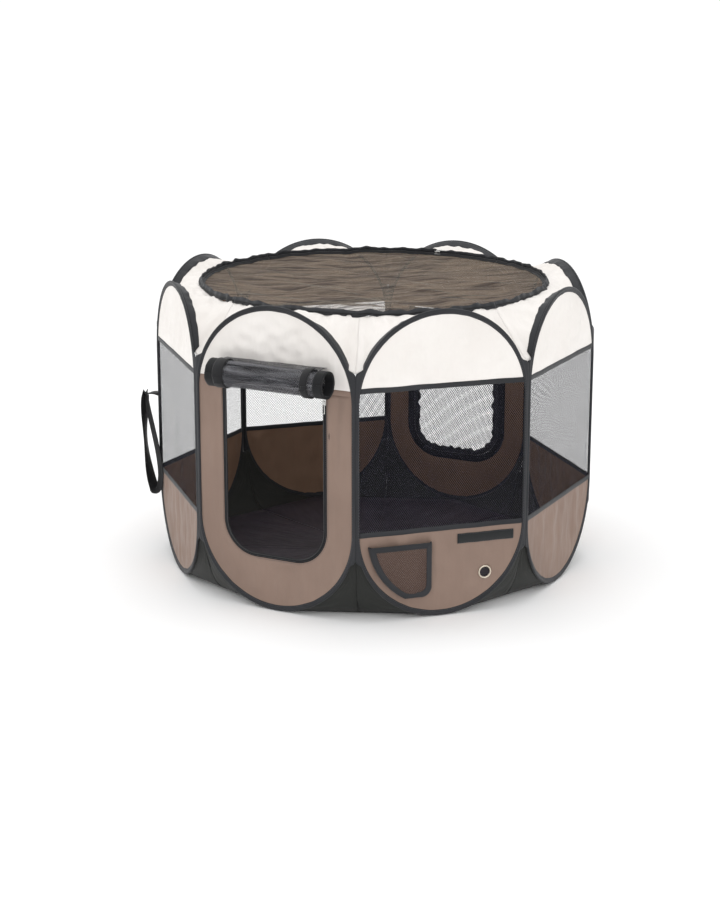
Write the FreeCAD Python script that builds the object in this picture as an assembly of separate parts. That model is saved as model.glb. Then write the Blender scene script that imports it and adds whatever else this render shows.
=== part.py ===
"""A pop-up pet playpen: eight sprung hoops in sewn binding, filled with cloth and mesh.

Millimetres, +Z up. The origin is the middle of the floor's underside, and the front panel,
with the open doorway, faces -Y. The panels run round the pen as in SIDES, each turned 45
degrees from the last. They are hinged on their sewn edges and fold into a four-armed star:
odd edges close inner face to inner face, and even edges open to a right angle outside.
"""

import FreeCAD, Part
import math
import os
from FreeCAD import Vector

os.makedirs("parts", exist_ok=True)

SIDES = ["front", "front_right", "right", "back_right", "back", "back_left", "left", "front_left"]
DOOR_SIDES = ["front", "back"]

# Overall sizes
panel_pitch = 343.0  # from one edge hinge to the next, round the pen
pen_height = 600.0

# Hoops and their binding
wire_radius = 1.5
wire_clearance = 0.25
sleeve_radius = 4.0
binding_reach = 14.0  # from the hoop's line to the binding's inner edge, at the top of an arch
binding_thickness = 2.0
hinge_gap = 1.0  # from a sleeve to the fold axis of a closing edge
open_axis_share = 0.225  # the opening edge's axis stands this share of a sleeve outside the panels
open_reach_share = 1.275  # and this share of a sleeve beyond the hoop

# Cloth, mesh and their seams
cloth_thickness = 1.0
mesh_thickness = 0.8
upper_seam_drop = 147.0  # from the top of the pen
lower_seam_height = 175.0
seam_tape_width = 10.0

# Doorways in the front and back panels
door_half_width = 104.0
door_bottom = 112.0
door_lintel = 11.0  # cloth between the doorway and the upper seam
door_corner = 62.0
zip_tape_width = 14.0
zip_coil_width = 3.0
zip_coil_thickness = 3.2
running_gap = 0.3
cut_past = 1.0  # how far a cutting tool runs past what it cuts
leaf_gap = 1.5
leaf_edge_width = 14.0

# Zip sliders
slider_width = 9.0
slider_height = 14.0
slider_thickness = 6.8
slider_wall = 0.6
slider_drop = 14.0  # from the top of the doorway to the middle of the slider
lug_width = 3.0
lug_height = 4.0
pull_width = 6.0
pull_length = 24.0
pull_thickness = 1.4

# The front door, rolled up and tied
roll_radius = 27.0
roll_bore_radius = 22.0
roll_overhang = 27.0  # past the doorway at each end
roll_rise = 15.0  # from the upper seam to the middle of the roll
tie_width = 22.0
tie_thickness = 1.5
tie_inset = 38.0  # from the roll's end to the middle of a tie
roll_clearance = 1.8  # from a tie to the panel
roll_web_thickness = 1.0

# Pocket, drinking-bottle eyelet and hook-and-loop strip on the front right panel
pocket_right = -22.0
pocket_top = 152.0
pocket_bottom = 44.0
pocket_corner = 20.0
pocket_hoop_gap = 19.0  # from the hoop's line to the pocket's curved side
pocket_depth = 9.0
pocket_edge_width = 11.0
pocket_edge_thickness = 1.4
eyelet_x = 89.0
eyelet_height = 79.0
eyelet_bore_radius = 10.0
eyelet_barrel_wall = 1.2
eyelet_flange_radius = 13.5
eyelet_flange_thickness = 1.0
strip_length = 114.0
strip_width = 19.5
strip_height = 151.0
strip_thickness = 1.8

# Floor, gussets, top skirt, top mesh and its zip
floor_thickness = 3.0
soft_clearance = 1.5  # between a hoop's sleeve and the soft parts inside it
soft_thickness = 0.8
gusset_top = 126.0
gusset_reach = 88.0  # degrees round the hoop's foot, from the level of its centre
skirt_valley_drop = 100.0  # from the top of the pen to the skirt's low points between two arches
ring_drop = 22.0  # from the top of the pen to the roof zip
ring_inset = 59.0  # from a panel to the roof zip
ring_width = 14.0
ring_thickness = 3.0
ring_gap = 0.6  # from the skirt's facets to the round zip
top_sag = 12.0
top_slider_angle = 91.0
loft_sections = 9

# Carry strap, hanging at the back-most left edge
strap_width = 25.0
strap_thickness = 1.6
strap_drop = 260.0  # from the top of the pen
strap_loop_length = 211.0
strap_loop_width = 41.0
strap_neck = 8.0
strap_corner_gap = 4.2
strap_edge = 6.5  # turns from the front panel: between the left and front left panels

# Worked-out sizes
turn = 360.0 / len(SIDES)
half_turn = math.radians(turn / 2)
apothem = panel_pitch / 2 / math.tan(half_turn)
open_axis_out = open_axis_share * sleeve_radius
close_axis_in = sleeve_radius + hinge_gap
hoop_half = (apothem + open_axis_out) * math.tan(half_turn) - open_reach_share * sleeve_radius
arch_centre = pen_height - sleeve_radius - hoop_half
foot_centre = sleeve_radius + hoop_half
upper_seam_height = pen_height - upper_seam_drop
door_top = upper_seam_height - door_lintel
roll_height = upper_seam_height + roll_rise
roll_half_length = door_half_width + roll_overhang
cloth_face = cloth_thickness / 2
tape_outer_half = door_half_width + zip_tape_width
soft_rail = apothem - sleeve_radius - soft_clearance
roll_out = roll_radius + tie_thickness + roll_clearance + cloth_face
ring_outer_radius = apothem - ring_inset
ring_inner_radius = ring_outer_radius - ring_width
skirt_inner_radius = ring_outer_radius + ring_gap
ring_height = pen_height - ring_drop
skirt_valley = pen_height - skirt_valley_drop
strap_top = pen_height - strap_drop
corner_radius = apothem / math.cos(half_turn)


def save(shape, name):
    """Write one sub-part's file and print what it holds."""
    shape.exportStep("parts/" + name + ".step")
    good = all(solid.isValid() for solid in shape.Solids)
    print(f"{name:24s} solids {len(shape.Solids)}  volume {shape.Volume:12.1f}  valid {good}")


def on_side(shape, index):
    """A shape drawn on the panel plane y = 0, outside towards -Y, moved onto one side of the pen."""
    placed = shape.copy()
    placed.translate(Vector(0, -apothem, 0))
    placed.rotate(Vector(0, 0, 0), Vector(0, 0, 1), turn * index)
    return placed


def line(a, b):
    return Part.LineSegment(Vector(a[0], 0, a[1]), Vector(b[0], 0, b[1])).toShape()


def arc(a, via, b):
    return Part.Arc(Vector(a[0], 0, a[1]), Vector(via[0], 0, via[1]), Vector(b[0], 0, b[1])).toShape()


def face_of(edges):
    return Part.Face(Part.Wire(edges))


def slab(face, y_low, y_high):
    """A face in the plane y = 0, given depth from y_low to y_high."""
    moved = face.copy()
    moved.translate(Vector(0, y_low, 0))
    return moved.extrude(Vector(0, y_high - y_low, 0))


def sheet_of(face, thickness):
    return slab(face, -thickness / 2, thickness / 2)


def block(x_low, x_high, y_low, y_high, z_low, z_high):
    size = (x_high - x_low, y_high - y_low, z_high - z_low)
    return Part.makeBox(size[0], size[1], size[2], Vector(x_low, y_low, z_low))


# The hoops and their binding


def hoop_tube(radius):
    """A round bar bent to the hoop: two straight sides and two half circles."""
    def ring_section(x, z):
        circle = Part.makeCircle(radius, Vector(x, 0, z), Vector(0, 0, 1))
        return Part.Face(Part.Wire(circle))

    rise = Vector(0, 0, arch_centre - foot_centre)
    right = ring_section(hoop_half, foot_centre).extrude(rise)
    left = ring_section(-hoop_half, foot_centre).extrude(rise)
    top = ring_section(hoop_half, arch_centre).revolve(Vector(0, 0, arch_centre), Vector(0, -1, 0), 180)
    foot = ring_section(hoop_half, foot_centre).revolve(Vector(0, 0, foot_centre), Vector(0, 1, 0), 180)
    return right.fuse([left, top, foot]).removeSplitter()


def arch_tape(centre, up):
    """The crescent of binding inside one half circle of the hoop; up is 1 at the top, -1 at the foot."""
    edge = hoop_half - sleeve_radius
    outer_top = (0, centre + up * hoop_half)
    inner_top = (0, centre + up * (hoop_half - binding_reach))
    edges = [
        arc((hoop_half, centre), outer_top, (-hoop_half, centre)),
        line((-hoop_half, centre), (-edge, centre)),
        arc((-edge, centre), inner_top, (edge, centre)),
        line((edge, centre), (hoop_half, centre)),
    ]
    return sheet_of(face_of(edges), binding_thickness)


def seam_tape(height):
    """A tape across the panel, from one side of the hoop to the other."""
    span = hoop_half
    if height > arch_centre:
        span = math.sqrt(hoop_half**2 - (height - arch_centre) ** 2)
    low = height - seam_tape_width / 2
    high = height + seam_tape_width / 2
    span = span - binding_thickness
    return block(-span, span, -binding_thickness / 2, binding_thickness / 2, low, high)


def solid_binding(with_tapes):
    pieces = [arch_tape(arch_centre, 1), arch_tape(foot_centre, -1)]
    if with_tapes:
        pieces += [seam_tape(upper_seam_height), seam_tape(lower_seam_height)]
    return hoop_tube(sleeve_radius).fuse(pieces).removeSplitter()


def hoop_field():
    """The whole area inside the hoop's line."""
    edges = [
        line((hoop_half, foot_centre), (hoop_half, arch_centre)),
        arc((hoop_half, arch_centre), (0, arch_centre + hoop_half), (-hoop_half, arch_centre)),
        line((-hoop_half, arch_centre), (-hoop_half, foot_centre)),
        arc((-hoop_half, foot_centre), (0, foot_centre - hoop_half), (hoop_half, foot_centre)),
    ]
    return face_of(edges)


def filling(binding, low, high, thickness):
    """The cloth or mesh between two heights, cut to what the binding leaves."""
    band = block(-panel_pitch, panel_pitch, -thickness, thickness, low, high)
    return sheet_of(hoop_field(), thickness).common(band).cut(binding)


# Doorways


def u_face(half_width, bottom, corner, top):
    """A doorway's outline: straight sides, rounded lower corners and a level top."""
    knee = corner * (1 - math.sqrt(0.5))
    level = half_width - corner
    near = half_width - knee
    shoulder = bottom + corner
    edges = [
        line((half_width, top), (-half_width, top)),
        line((-half_width, top), (-half_width, shoulder)),
        arc((-half_width, shoulder), (-near, bottom + knee), (-level, bottom)),
        line((-level, bottom), (level, bottom)),
        arc((level, bottom), (near, bottom + knee), (half_width, shoulder)),
        line((half_width, shoulder), (half_width, top)),
    ]
    return face_of(edges)


def grown_u(extra, top):
    return u_face(door_half_width + extra, door_bottom - extra, door_corner + extra, top)


def door_surround(binding):
    """The lower cloth of a door panel, with the doorway and its zip tape cut out."""
    cloth = filling(binding, 0, upper_seam_height, cloth_thickness)
    return cloth.cut(sheet_of(grown_u(zip_tape_width, door_top), 2 * cloth_thickness))


def zip_tape():
    """The half of the door's zip that is sewn to the panel: a flat tape and its coil."""
    tape = grown_u(zip_tape_width, door_top).cut(grown_u(0, door_top))
    coil = grown_u(zip_coil_width, door_top).cut(grown_u(0, door_top))
    return sheet_of(tape, binding_thickness).fuse(sheet_of(coil, zip_coil_thickness)).removeSplitter()


def door_slider():
    """A zip slider round the coil of the right-hand tape, with its pull hanging outside."""
    left = door_half_width - running_gap - slider_wall
    right = left + slider_width
    middle = door_top - slider_drop
    half = slider_thickness / 2
    low = middle - slider_height / 2
    high = middle + slider_height / 2
    coil_half = zip_coil_thickness / 2 + running_gap
    tape_half = binding_thickness / 2 + running_gap
    coil_end = door_half_width + zip_coil_width + running_gap
    body = block(left, right, -half, half, low, high)
    cut_low = low - cut_past
    cut_high = high + cut_past
    body = body.cut(block(left + slider_wall, coil_end, -coil_half, coil_half, cut_low, cut_high))
    body = body.cut(block(coil_end, right + cut_past, -tape_half, tape_half, cut_low, cut_high))
    centre = (left + right) / 2
    lug_out = half + 2 * pull_thickness
    lug_low = middle - lug_height / 2
    lug_high = lug_low + lug_height
    lug = block(centre - lug_width / 2, centre + lug_width / 2, -lug_out, -half, lug_low, lug_high)
    pull_in = half + pull_thickness
    pull_low = middle - pull_length
    pull = block(centre - pull_width / 2, centre + pull_width / 2, -lug_out, -pull_in, pull_low, middle)
    return body.fuse([lug, pull]).removeSplitter()


def door_leaf():
    """The back door's mesh and the binding round it, lying in the doorway."""
    top = door_top - leaf_gap
    outer = grown_u(-leaf_gap, top)
    inner = grown_u(-leaf_gap - leaf_edge_width, top - leaf_edge_width)
    edging = sheet_of(outer.cut(inner), binding_thickness)
    return sheet_of(inner, mesh_thickness), edging


# The front door's roll


def door_roll():
    """The rolled mesh, a thick tube, with the web of mesh that it hangs from."""
    start = Vector(-roll_half_length, -roll_out, roll_height)
    along = Vector(1, 0, 0)
    outside = Part.makeCylinder(roll_radius, 2 * roll_half_length, start, along)
    inside = Part.makeCylinder(roll_bore_radius, 2 * roll_half_length, start, along)
    web_top = roll_height + roll_radius
    web_half = roll_half_length - roll_radius / 4
    web_in = cloth_face + roll_clearance
    web = block(-web_half, web_half, -roll_out, -web_in, web_top - roll_web_thickness, web_top)
    return outside.fuse(web).cut(inside).removeSplitter()


def roll_ties(roll):
    """Two straps round the roll."""
    ties = []
    for side in (-1, 1):
        middle = side * (roll_half_length - tie_inset)
        start = Vector(middle - tie_width / 2, -roll_out, roll_height)
        band = Part.makeCylinder(roll_radius + tie_thickness, tie_width, start, Vector(1, 0, 0))
        core = Part.makeCylinder(roll_radius, tie_width, start, Vector(1, 0, 0))
        ties.append(band.cut(core).cut(roll))
    return Part.makeCompound(ties)


# Pocket, eyelet and strip


def pocket_face(inset):
    """The pocket's outline: its left side keeps a gap to the hoop, and its lower right is rounded."""
    side_radius = hoop_half - pocket_hoop_gap - inset
    right = pocket_right - inset
    top = pocket_top - inset
    bottom = pocket_bottom + inset
    corner = pocket_corner - inset / 2
    knee = corner * (1 - math.sqrt(0.5))

    def on_side_arc(height):
        return (-math.sqrt(side_radius**2 - (foot_centre - height) ** 2), height)

    edges = [
        line((right, top), on_side_arc(top)),
        arc(on_side_arc(top), on_side_arc((top + bottom) / 2), on_side_arc(bottom)),
        line(on_side_arc(bottom), (right - corner, bottom)),
        arc((right - corner, bottom), (right - knee, bottom + knee), (right, bottom + corner)),
        line((right, bottom + corner), (right, top)),
    ]
    return face_of(edges)


def pocket():
    """The mesh front and the binding round it, which stands off the panel and is open on top."""
    outer = pocket_face(0)
    inner = pocket_face(pocket_edge_width)
    front = -cloth_face - pocket_depth
    rim = slab(outer.cut(inner), front, -cloth_face)
    inside = slab(pocket_face(pocket_edge_thickness), front + pocket_edge_thickness, -cloth_face)
    mouth = inside.copy()
    mouth.translate(Vector(0, 0, pocket_edge_thickness))
    top_band = block(-panel_pitch, 0, front, 0, pocket_top - pocket_edge_width, pocket_top + cut_past)
    rim = rim.cut(inside).cut(mouth.common(top_band))
    mesh = slab(inner, front, front + mesh_thickness)
    return mesh, rim


def eyelet_revolved(inner, outer, y_low, y_high):
    start = Vector(eyelet_x, y_low, eyelet_height)
    disc = Part.makeCylinder(outer, y_high - y_low, start, Vector(0, 1, 0))
    if inner:
        disc = disc.cut(Part.makeCylinder(inner, y_high - y_low, start, Vector(0, 1, 0)))
    return disc


def eyelet():
    """A pressed metal eyelet: a barrel through the cloth and a flange on each face."""
    barrel = eyelet_bore_radius + eyelet_barrel_wall
    face = cloth_face + eyelet_flange_thickness
    ring = eyelet_revolved(eyelet_bore_radius, barrel, -face, face)
    front = eyelet_revolved(eyelet_bore_radius, eyelet_flange_radius, -face, -cloth_face)
    back = eyelet_revolved(eyelet_bore_radius, eyelet_flange_radius, cloth_face, face)
    return ring.fuse([front, back]).removeSplitter()


def bottle_strip():
    half = strip_length / 2
    low = strip_height - strip_width / 2
    high = strip_height + strip_width / 2
    face = -cloth_face
    return block(eyelet_x - half, eyelet_x + half, face - strip_thickness, face, low, high)


# Soft parts that join all the panels


def floor_sheet():
    """The floor: an octagon whose corners are at the feet of the hoops."""
    corners = []
    for index in range(len(SIDES)):
        angle = math.radians(turn * index) - math.pi / 2
        corners.append(Vector(soft_rail * math.cos(angle), soft_rail * math.sin(angle), 0))
    return Part.Face(Part.makePolygon(corners + corners[:1])).extrude(Vector(0, 0, floor_thickness))


def thin_section(start, end, drop):
    corners = [start, end, end + drop, start + drop]
    return Part.makePolygon(corners + corners[:1])


def gusset():
    """The dark web between the feet of two hoops, drawn about the +X axis."""
    steepest = math.asin((foot_centre - gusset_top) / hoop_half)
    flattest = math.radians(gusset_reach)
    sections = []
    for step in range(loft_sections):
        swing = steepest + (flattest - steepest) * step / (loft_sections - 1)
        along = hoop_half * math.cos(swing)
        x = soft_rail * math.cos(half_turn) + along * math.sin(half_turn)
        y = soft_rail * math.sin(half_turn) - along * math.cos(half_turn)
        z = foot_centre - hoop_half * math.sin(swing)
        sections.append(thin_section(Vector(x, y, z), Vector(x, -y, z), Vector(-soft_thickness, 0, 0)))
    return Part.makeLoft(sections, True, True)


def skirt_sector():
    """The cream cloth from one hoop's arch in to the zip ring, drawn on the front side."""
    lowest = math.asin((skirt_valley - arch_centre) / hoop_half)
    widest = hoop_half * math.cos(lowest)
    sections = []
    for step in range(2 * loft_sections):
        swing = lowest + (math.pi - 2 * lowest) * step / (2 * loft_sections - 1)
        along = hoop_half * math.cos(swing)
        outer = Vector(along, -soft_rail, arch_centre + hoop_half * math.sin(swing))
        round_ring = half_turn * along / widest
        x = skirt_inner_radius * math.sin(round_ring)
        y = -skirt_inner_radius * math.cos(round_ring)
        sections.append(thin_section(outer, Vector(x, y, ring_height), Vector(0, 0, -soft_thickness)))
    return Part.makeLoft(sections, True, True)


def around(shape, first_angle):
    """Eight copies of a shape, a panel's turn apart."""
    copies = []
    for index in range(len(SIDES)):
        placed = shape.copy()
        placed.rotate(Vector(0, 0, 0), Vector(0, 0, 1), first_angle + turn * index)
        copies.append(placed)
    return Part.makeCompound(copies)


def top_zip():
    low = ring_height - ring_thickness / 2
    ring = Part.makeCylinder(ring_outer_radius, ring_thickness, Vector(0, 0, low))
    return ring.cut(Part.makeCylinder(ring_inner_radius, ring_thickness, Vector(0, 0, low)))


def top_mesh():
    """The mesh roof, which sags a little in the middle, as two shallow cones."""
    dip = ring_height - top_sag
    middle = (0, dip)
    halfway = (ring_inner_radius / 2, dip + top_sag / 4)
    edge = (ring_inner_radius, ring_height)
    below = [middle, halfway, edge]
    above = [(x, z + mesh_thickness) for x, z in reversed(below)]
    corners = [Vector(x, 0, z) for x, z in below + above + below[:1]]
    return Part.Face(Part.makePolygon(corners)).revolve(Vector(0, 0, 0), Vector(0, 0, 1), 360)


def top_slider():
    """The roof zip's slider and its pull, drawn on the +X side of the ring."""
    low = ring_height + ring_thickness / 2 + running_gap
    middle = (ring_inner_radius + ring_outer_radius) / 2
    half = slider_height / 2
    high = low + 2 * pull_thickness
    body = block(middle - slider_width / 2, middle + slider_width / 2, -half, half, low, high)
    pull_low = low + 1.5 * pull_thickness
    pull_high = pull_low + pull_thickness
    pull = block(middle - pull_width / 2, middle + pull_width / 2, 0, half + pull_length, pull_low, pull_high)
    slider = body.fuse(pull).removeSplitter()
    slider.rotate(Vector(0, 0, 0), Vector(0, 0, 1), top_slider_angle)
    return slider


def carry_strap():
    """A webbing loop that hangs from the edge between the left and front left panels."""
    inner = corner_radius + strap_corner_gap
    outer = inner + strap_loop_width
    bend = strap_loop_width / 2
    turn_height = strap_top - strap_loop_length + bend
    outline = face_of([
        line((inner, strap_top), (inner, turn_height)),
        arc((inner, turn_height), (inner + bend, turn_height - bend), (outer, turn_height)),
        line((outer, turn_height), (inner + strap_neck, strap_top)),
        line((inner + strap_neck, strap_top), (inner, strap_top)),
    ])
    hollow = face_of(outline.OuterWire.makeOffset2D(-strap_thickness).Edges)
    loop = sheet_of(outline.cut(hollow), strap_width)
    loop.rotate(Vector(0, 0, 0), Vector(0, 0, 1), turn * strap_edge - 90)
    return loop


def main():
    plain_binding = solid_binding(False)
    taped_binding = solid_binding(True)
    channel = hoop_tube(wire_radius + wire_clearance)
    wire = hoop_tube(wire_radius)
    shared = {
        "door": {
            "binding": plain_binding.cut(channel),
            "top_cloth": filling(plain_binding, upper_seam_height, pen_height, cloth_thickness),
            "lower_cloth": door_surround(plain_binding),
        },
        "window": {
            "binding": taped_binding.cut(channel),
            "top_cloth": filling(taped_binding, upper_seam_height, pen_height, cloth_thickness),
            "mesh": filling(taped_binding, lower_seam_height, upper_seam_height, mesh_thickness),
            "lower_cloth": filling(taped_binding, 0, lower_seam_height, cloth_thickness),
        },
    }
    barrel = eyelet_bore_radius + eyelet_barrel_wall
    eyelet_hole = eyelet_revolved(0, barrel, -cloth_thickness, cloth_thickness)
    for index, side in enumerate(SIDES):
        save(on_side(wire, index), side + "_hoop")
        kind = "door" if side in DOOR_SIDES else "window"
        for piece, shape in shared[kind].items():
            if side == "front_right" and piece == "lower_cloth":
                shape = shape.cut(eyelet_hole)
            save(on_side(shape, index), side + "_" + piece)

    front = SIDES.index("front")
    back = SIDES.index("back")
    front_right = SIDES.index("front_right")
    save(on_side(zip_tape(), front), "front_door_zip")
    save(on_side(zip_tape(), back), "back_door_zip")
    save(on_side(door_slider(), front), "front_door_slider")
    save(on_side(door_slider(), back), "back_door_slider")
    roll = door_roll()
    save(on_side(roll, front), "front_door_roll")
    save(on_side(roll_ties(roll), front), "front_door_ties")
    leaf_mesh, leaf_edging = door_leaf()
    save(on_side(leaf_mesh, back), "back_door_mesh")
    save(on_side(leaf_edging, back), "back_door_edging")
    pocket_mesh, pocket_rim = pocket()
    save(on_side(pocket_mesh, front_right), "pocket_mesh")
    save(on_side(pocket_rim, front_right), "pocket_binding")
    save(on_side(eyelet(), front_right), "bottle_eyelet")
    save(on_side(bottle_strip(), front_right), "bottle_strip")
    save(floor_sheet(), "floor_sheet")
    save(around(gusset(), turn / 2), "floor_gussets")
    save(around(skirt_sector(), 0), "cover_skirt")
    save(top_zip(), "top_zip")
    save(top_mesh(), "top_mesh")
    save(top_slider(), "top_zip_slider")
    save(carry_strap(), "carry_strap")
    print(f"apothem {apothem:.2f}  hoop half width {hoop_half:.2f}  corner radius {corner_radius:.2f}")
    for name, out in (("opening", open_axis_out), ("closing", -close_axis_in)):
        radius = (apothem + out) / math.cos(half_turn)
        print(f"{name} edge axis radius {radius:.4f}")


main()
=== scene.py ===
# %% [markdown]
# # A pop-up pet playpen, made in cells
#
# The real object is a tent-like pen. Eight loops of sprung wire stand side by side in an
# octagon. Each loop is covered by a black folded binding, and cloth and mesh are sewn inside
# it. The frame that this script loads already holds every part's size and place, so the work
# here is the looks: thin cloth with its puckers, see-through mesh, tape, stitching and zips.

# %% Load the frame
import math

import bmesh
import bpy
from mathutils import Matrix, Vector, noise


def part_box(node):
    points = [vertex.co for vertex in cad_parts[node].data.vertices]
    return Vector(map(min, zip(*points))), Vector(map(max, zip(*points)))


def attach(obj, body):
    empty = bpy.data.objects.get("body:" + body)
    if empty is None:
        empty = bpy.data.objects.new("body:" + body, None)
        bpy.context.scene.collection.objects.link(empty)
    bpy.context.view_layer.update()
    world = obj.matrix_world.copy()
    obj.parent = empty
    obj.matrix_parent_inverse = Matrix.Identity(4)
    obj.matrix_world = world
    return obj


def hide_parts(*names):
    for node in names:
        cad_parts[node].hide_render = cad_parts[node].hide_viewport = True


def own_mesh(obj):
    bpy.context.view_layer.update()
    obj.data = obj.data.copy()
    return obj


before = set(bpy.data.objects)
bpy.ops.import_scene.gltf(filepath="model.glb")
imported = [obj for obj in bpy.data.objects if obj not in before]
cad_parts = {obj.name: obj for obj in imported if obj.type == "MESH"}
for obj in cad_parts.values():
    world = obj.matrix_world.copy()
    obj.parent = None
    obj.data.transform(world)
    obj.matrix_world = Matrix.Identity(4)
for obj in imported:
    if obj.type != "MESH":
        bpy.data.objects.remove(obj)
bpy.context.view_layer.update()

# %% [markdown]
# ## Sizes, read from the frame
#
# The front panel faces -Y, so its own nodes give the sizes that all the panels share. A panel
# is drawn flat first, in *panel coordinates*: x along the panel, y through it (minus is
# outside), z up. One matrix then moves a finished panel to its side of the octagon.

# %% Sizes
SIDES = ["front", "front_right", "right", "back_right", "back", "back_left", "left", "front_left"]
DOOR_SIDES = ["front", "back"]
TURN = math.radians(360 / len(SIDES))
MM = 0.001

sleeve_low, sleeve_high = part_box("front_binding")
SLEEVE = (sleeve_high.y - sleeve_low.y) / 2
APOTHEM = -(sleeve_high.y + sleeve_low.y) / 2
HOOP_HALF = sleeve_high.x - SLEEVE
PEN_HEIGHT = sleeve_high.z
ARCH = PEN_HEIGHT - SLEEVE - HOOP_HALF
FOOT = SLEEVE + HOOP_HALF
CORNER = APOTHEM * math.tan(TURN / 2)
UPPER_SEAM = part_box("front_top_cloth")[0].z
SEAM_TAPE = 10 * MM
LOWER_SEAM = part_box("right_lower_cloth")[1].z + SEAM_TAPE / 2
RING_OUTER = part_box("top_zip")[1].x
RING_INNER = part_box("top_mesh")[1].x
RING_HEIGHT = (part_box("top_zip")[0].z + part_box("top_zip")[1].z) / 2
ROOF_DIP = RING_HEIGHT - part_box("top_mesh")[0].z
SKIRT_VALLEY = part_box("cover_skirt")[0].z
GUSSET_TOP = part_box("floor_gussets")[1].z
print(f"apothem {APOTHEM:.4f}, hoop half width {HOOP_HALF:.4f}, seams {LOWER_SEAM:.3f} {UPPER_SEAM:.3f}")


def panel_matrix(index):
    """Moves a panel drawn about the origin to its side of the pen."""
    return Matrix.Rotation(TURN * index, 4, "Z") @ Matrix.Translation((0, -APOTHEM, 0))


def half_width(height, inset=0.0):
    """Half the width inside the hoop's line at a height."""
    lift = max(height - ARCH, FOOT - height, 0)
    return math.sqrt(max((HOOP_HALF - inset) ** 2 - lift**2, 0))


def depth_inside(x, height):
    """How far a point of the panel lies in from the hoop's line."""
    return HOOP_HALF - math.hypot(x, max(height - ARCH, FOOT - height, 0))


def ease(value, reach):
    """0 at nothing, 1 from reach on, with a soft start and end."""
    share = min(max(value / reach, 0), 1)
    return share * share * (3 - 2 * share)


# %% [markdown]
# ## Camera, floor and light
#
# The pen stands on a white studio floor and is lit by broad, soft sources, so its shadow is
# only a grey breath round its feet. A long lens from four metres keeps the near and far
# panels nearly the same size. The camera comes first, because every later choice is judged
# from it.

# %% Camera and studio
camera_data = bpy.data.cameras.new("camera")
camera_data.lens = 79.8
camera = bpy.data.objects.new("camera", camera_data)
camera.location = (1.7997, -3.5724, 1.3209)
CAMERA_DOWN = 0.2685
CAMERA_ROUND = 0.4736
camera.rotation_euler = (math.pi / 2 - CAMERA_DOWN, 0, CAMERA_ROUND)
bpy.context.scene.collection.objects.link(camera)
bpy.context.scene.camera = camera


PEN_CENTRE = Vector((0, 0, 0.3))


def area_light(name, place, size, power):
    """A square softbox at a place, turned to the middle of the pen."""
    light = bpy.data.lights.new(name, "AREA")
    light.size = size
    light.energy = power
    holder = bpy.data.objects.new(name, light)
    holder.location = place
    holder.rotation_euler = (Vector(place) - PEN_CENTRE).to_track_quat("Z", "Y").to_euler()
    bpy.context.scene.collection.objects.link(holder)


area_light("left_softbox", (-3.4, -0.8, 2.6), 2.4, 24)
area_light("right_softbox", (3.2, -2.6, 2.0), 2.4, 18)
area_light("top_softbox", (0.2, 0.4, 3.6), 3.0, 20)
world = bpy.data.worlds.new("studio")
world.use_nodes = True
world.node_tree.nodes["Background"].inputs["Color"].default_value = (1, 1, 1, 1)
world.node_tree.nodes["Background"].inputs["Strength"].default_value = 1.05
bpy.context.scene.world = world
bpy.context.scene.view_settings.view_transform = "Standard"
print("camera and studio lights are in place")

# %% [markdown]
# ## Materials: a few small tools
#
# Colours are written as the hex values a maker would note down, and one function turns them
# to linear light. Another adds a node with its settings and links in one call. The third turns
# a real spacing to the Wave texture's scale: at a scale of 1 its bands are pi/10 apart.

# %% Colour, node and scale helpers
def colour(code):
    """An sRGB hex colour as linear light."""
    parts = [int(code[i : i + 2], 16) / 255 for i in (1, 3, 5)]
    return tuple(c / 12.92 if c <= 0.04045 else ((c + 0.055) / 1.055) ** 2.4 for c in parts) + (1.0,)


def add_node(tree, kind, settings=None, inputs=None):
    """A new node with its settings; an input takes a value, or a link from another's output."""
    made = tree.nodes.new(kind)
    for name, value in (settings or {}).items():
        setattr(made, name, value)
    for name, value in (inputs or {}).items():
        if isinstance(value, bpy.types.NodeSocket):
            tree.links.new(value, made.inputs[name])
        else:
            made.inputs[name].default_value = value
    return made


def wave_scale(spacing):
    """The Wave texture's scale for bands this far apart, in metres."""
    return math.pi / 10 / spacing


def new_material(name, **sockets):
    """A material with a Principled shader whose sockets are set to the values given."""
    made = bpy.data.materials.new(name)
    made.use_nodes = True
    shader = made.node_tree.nodes["Principled BSDF"]
    for socket, value in sockets.items():
        shader.inputs[socket.replace("_", " ")].default_value = value
    return made, made.node_tree, shader
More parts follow.
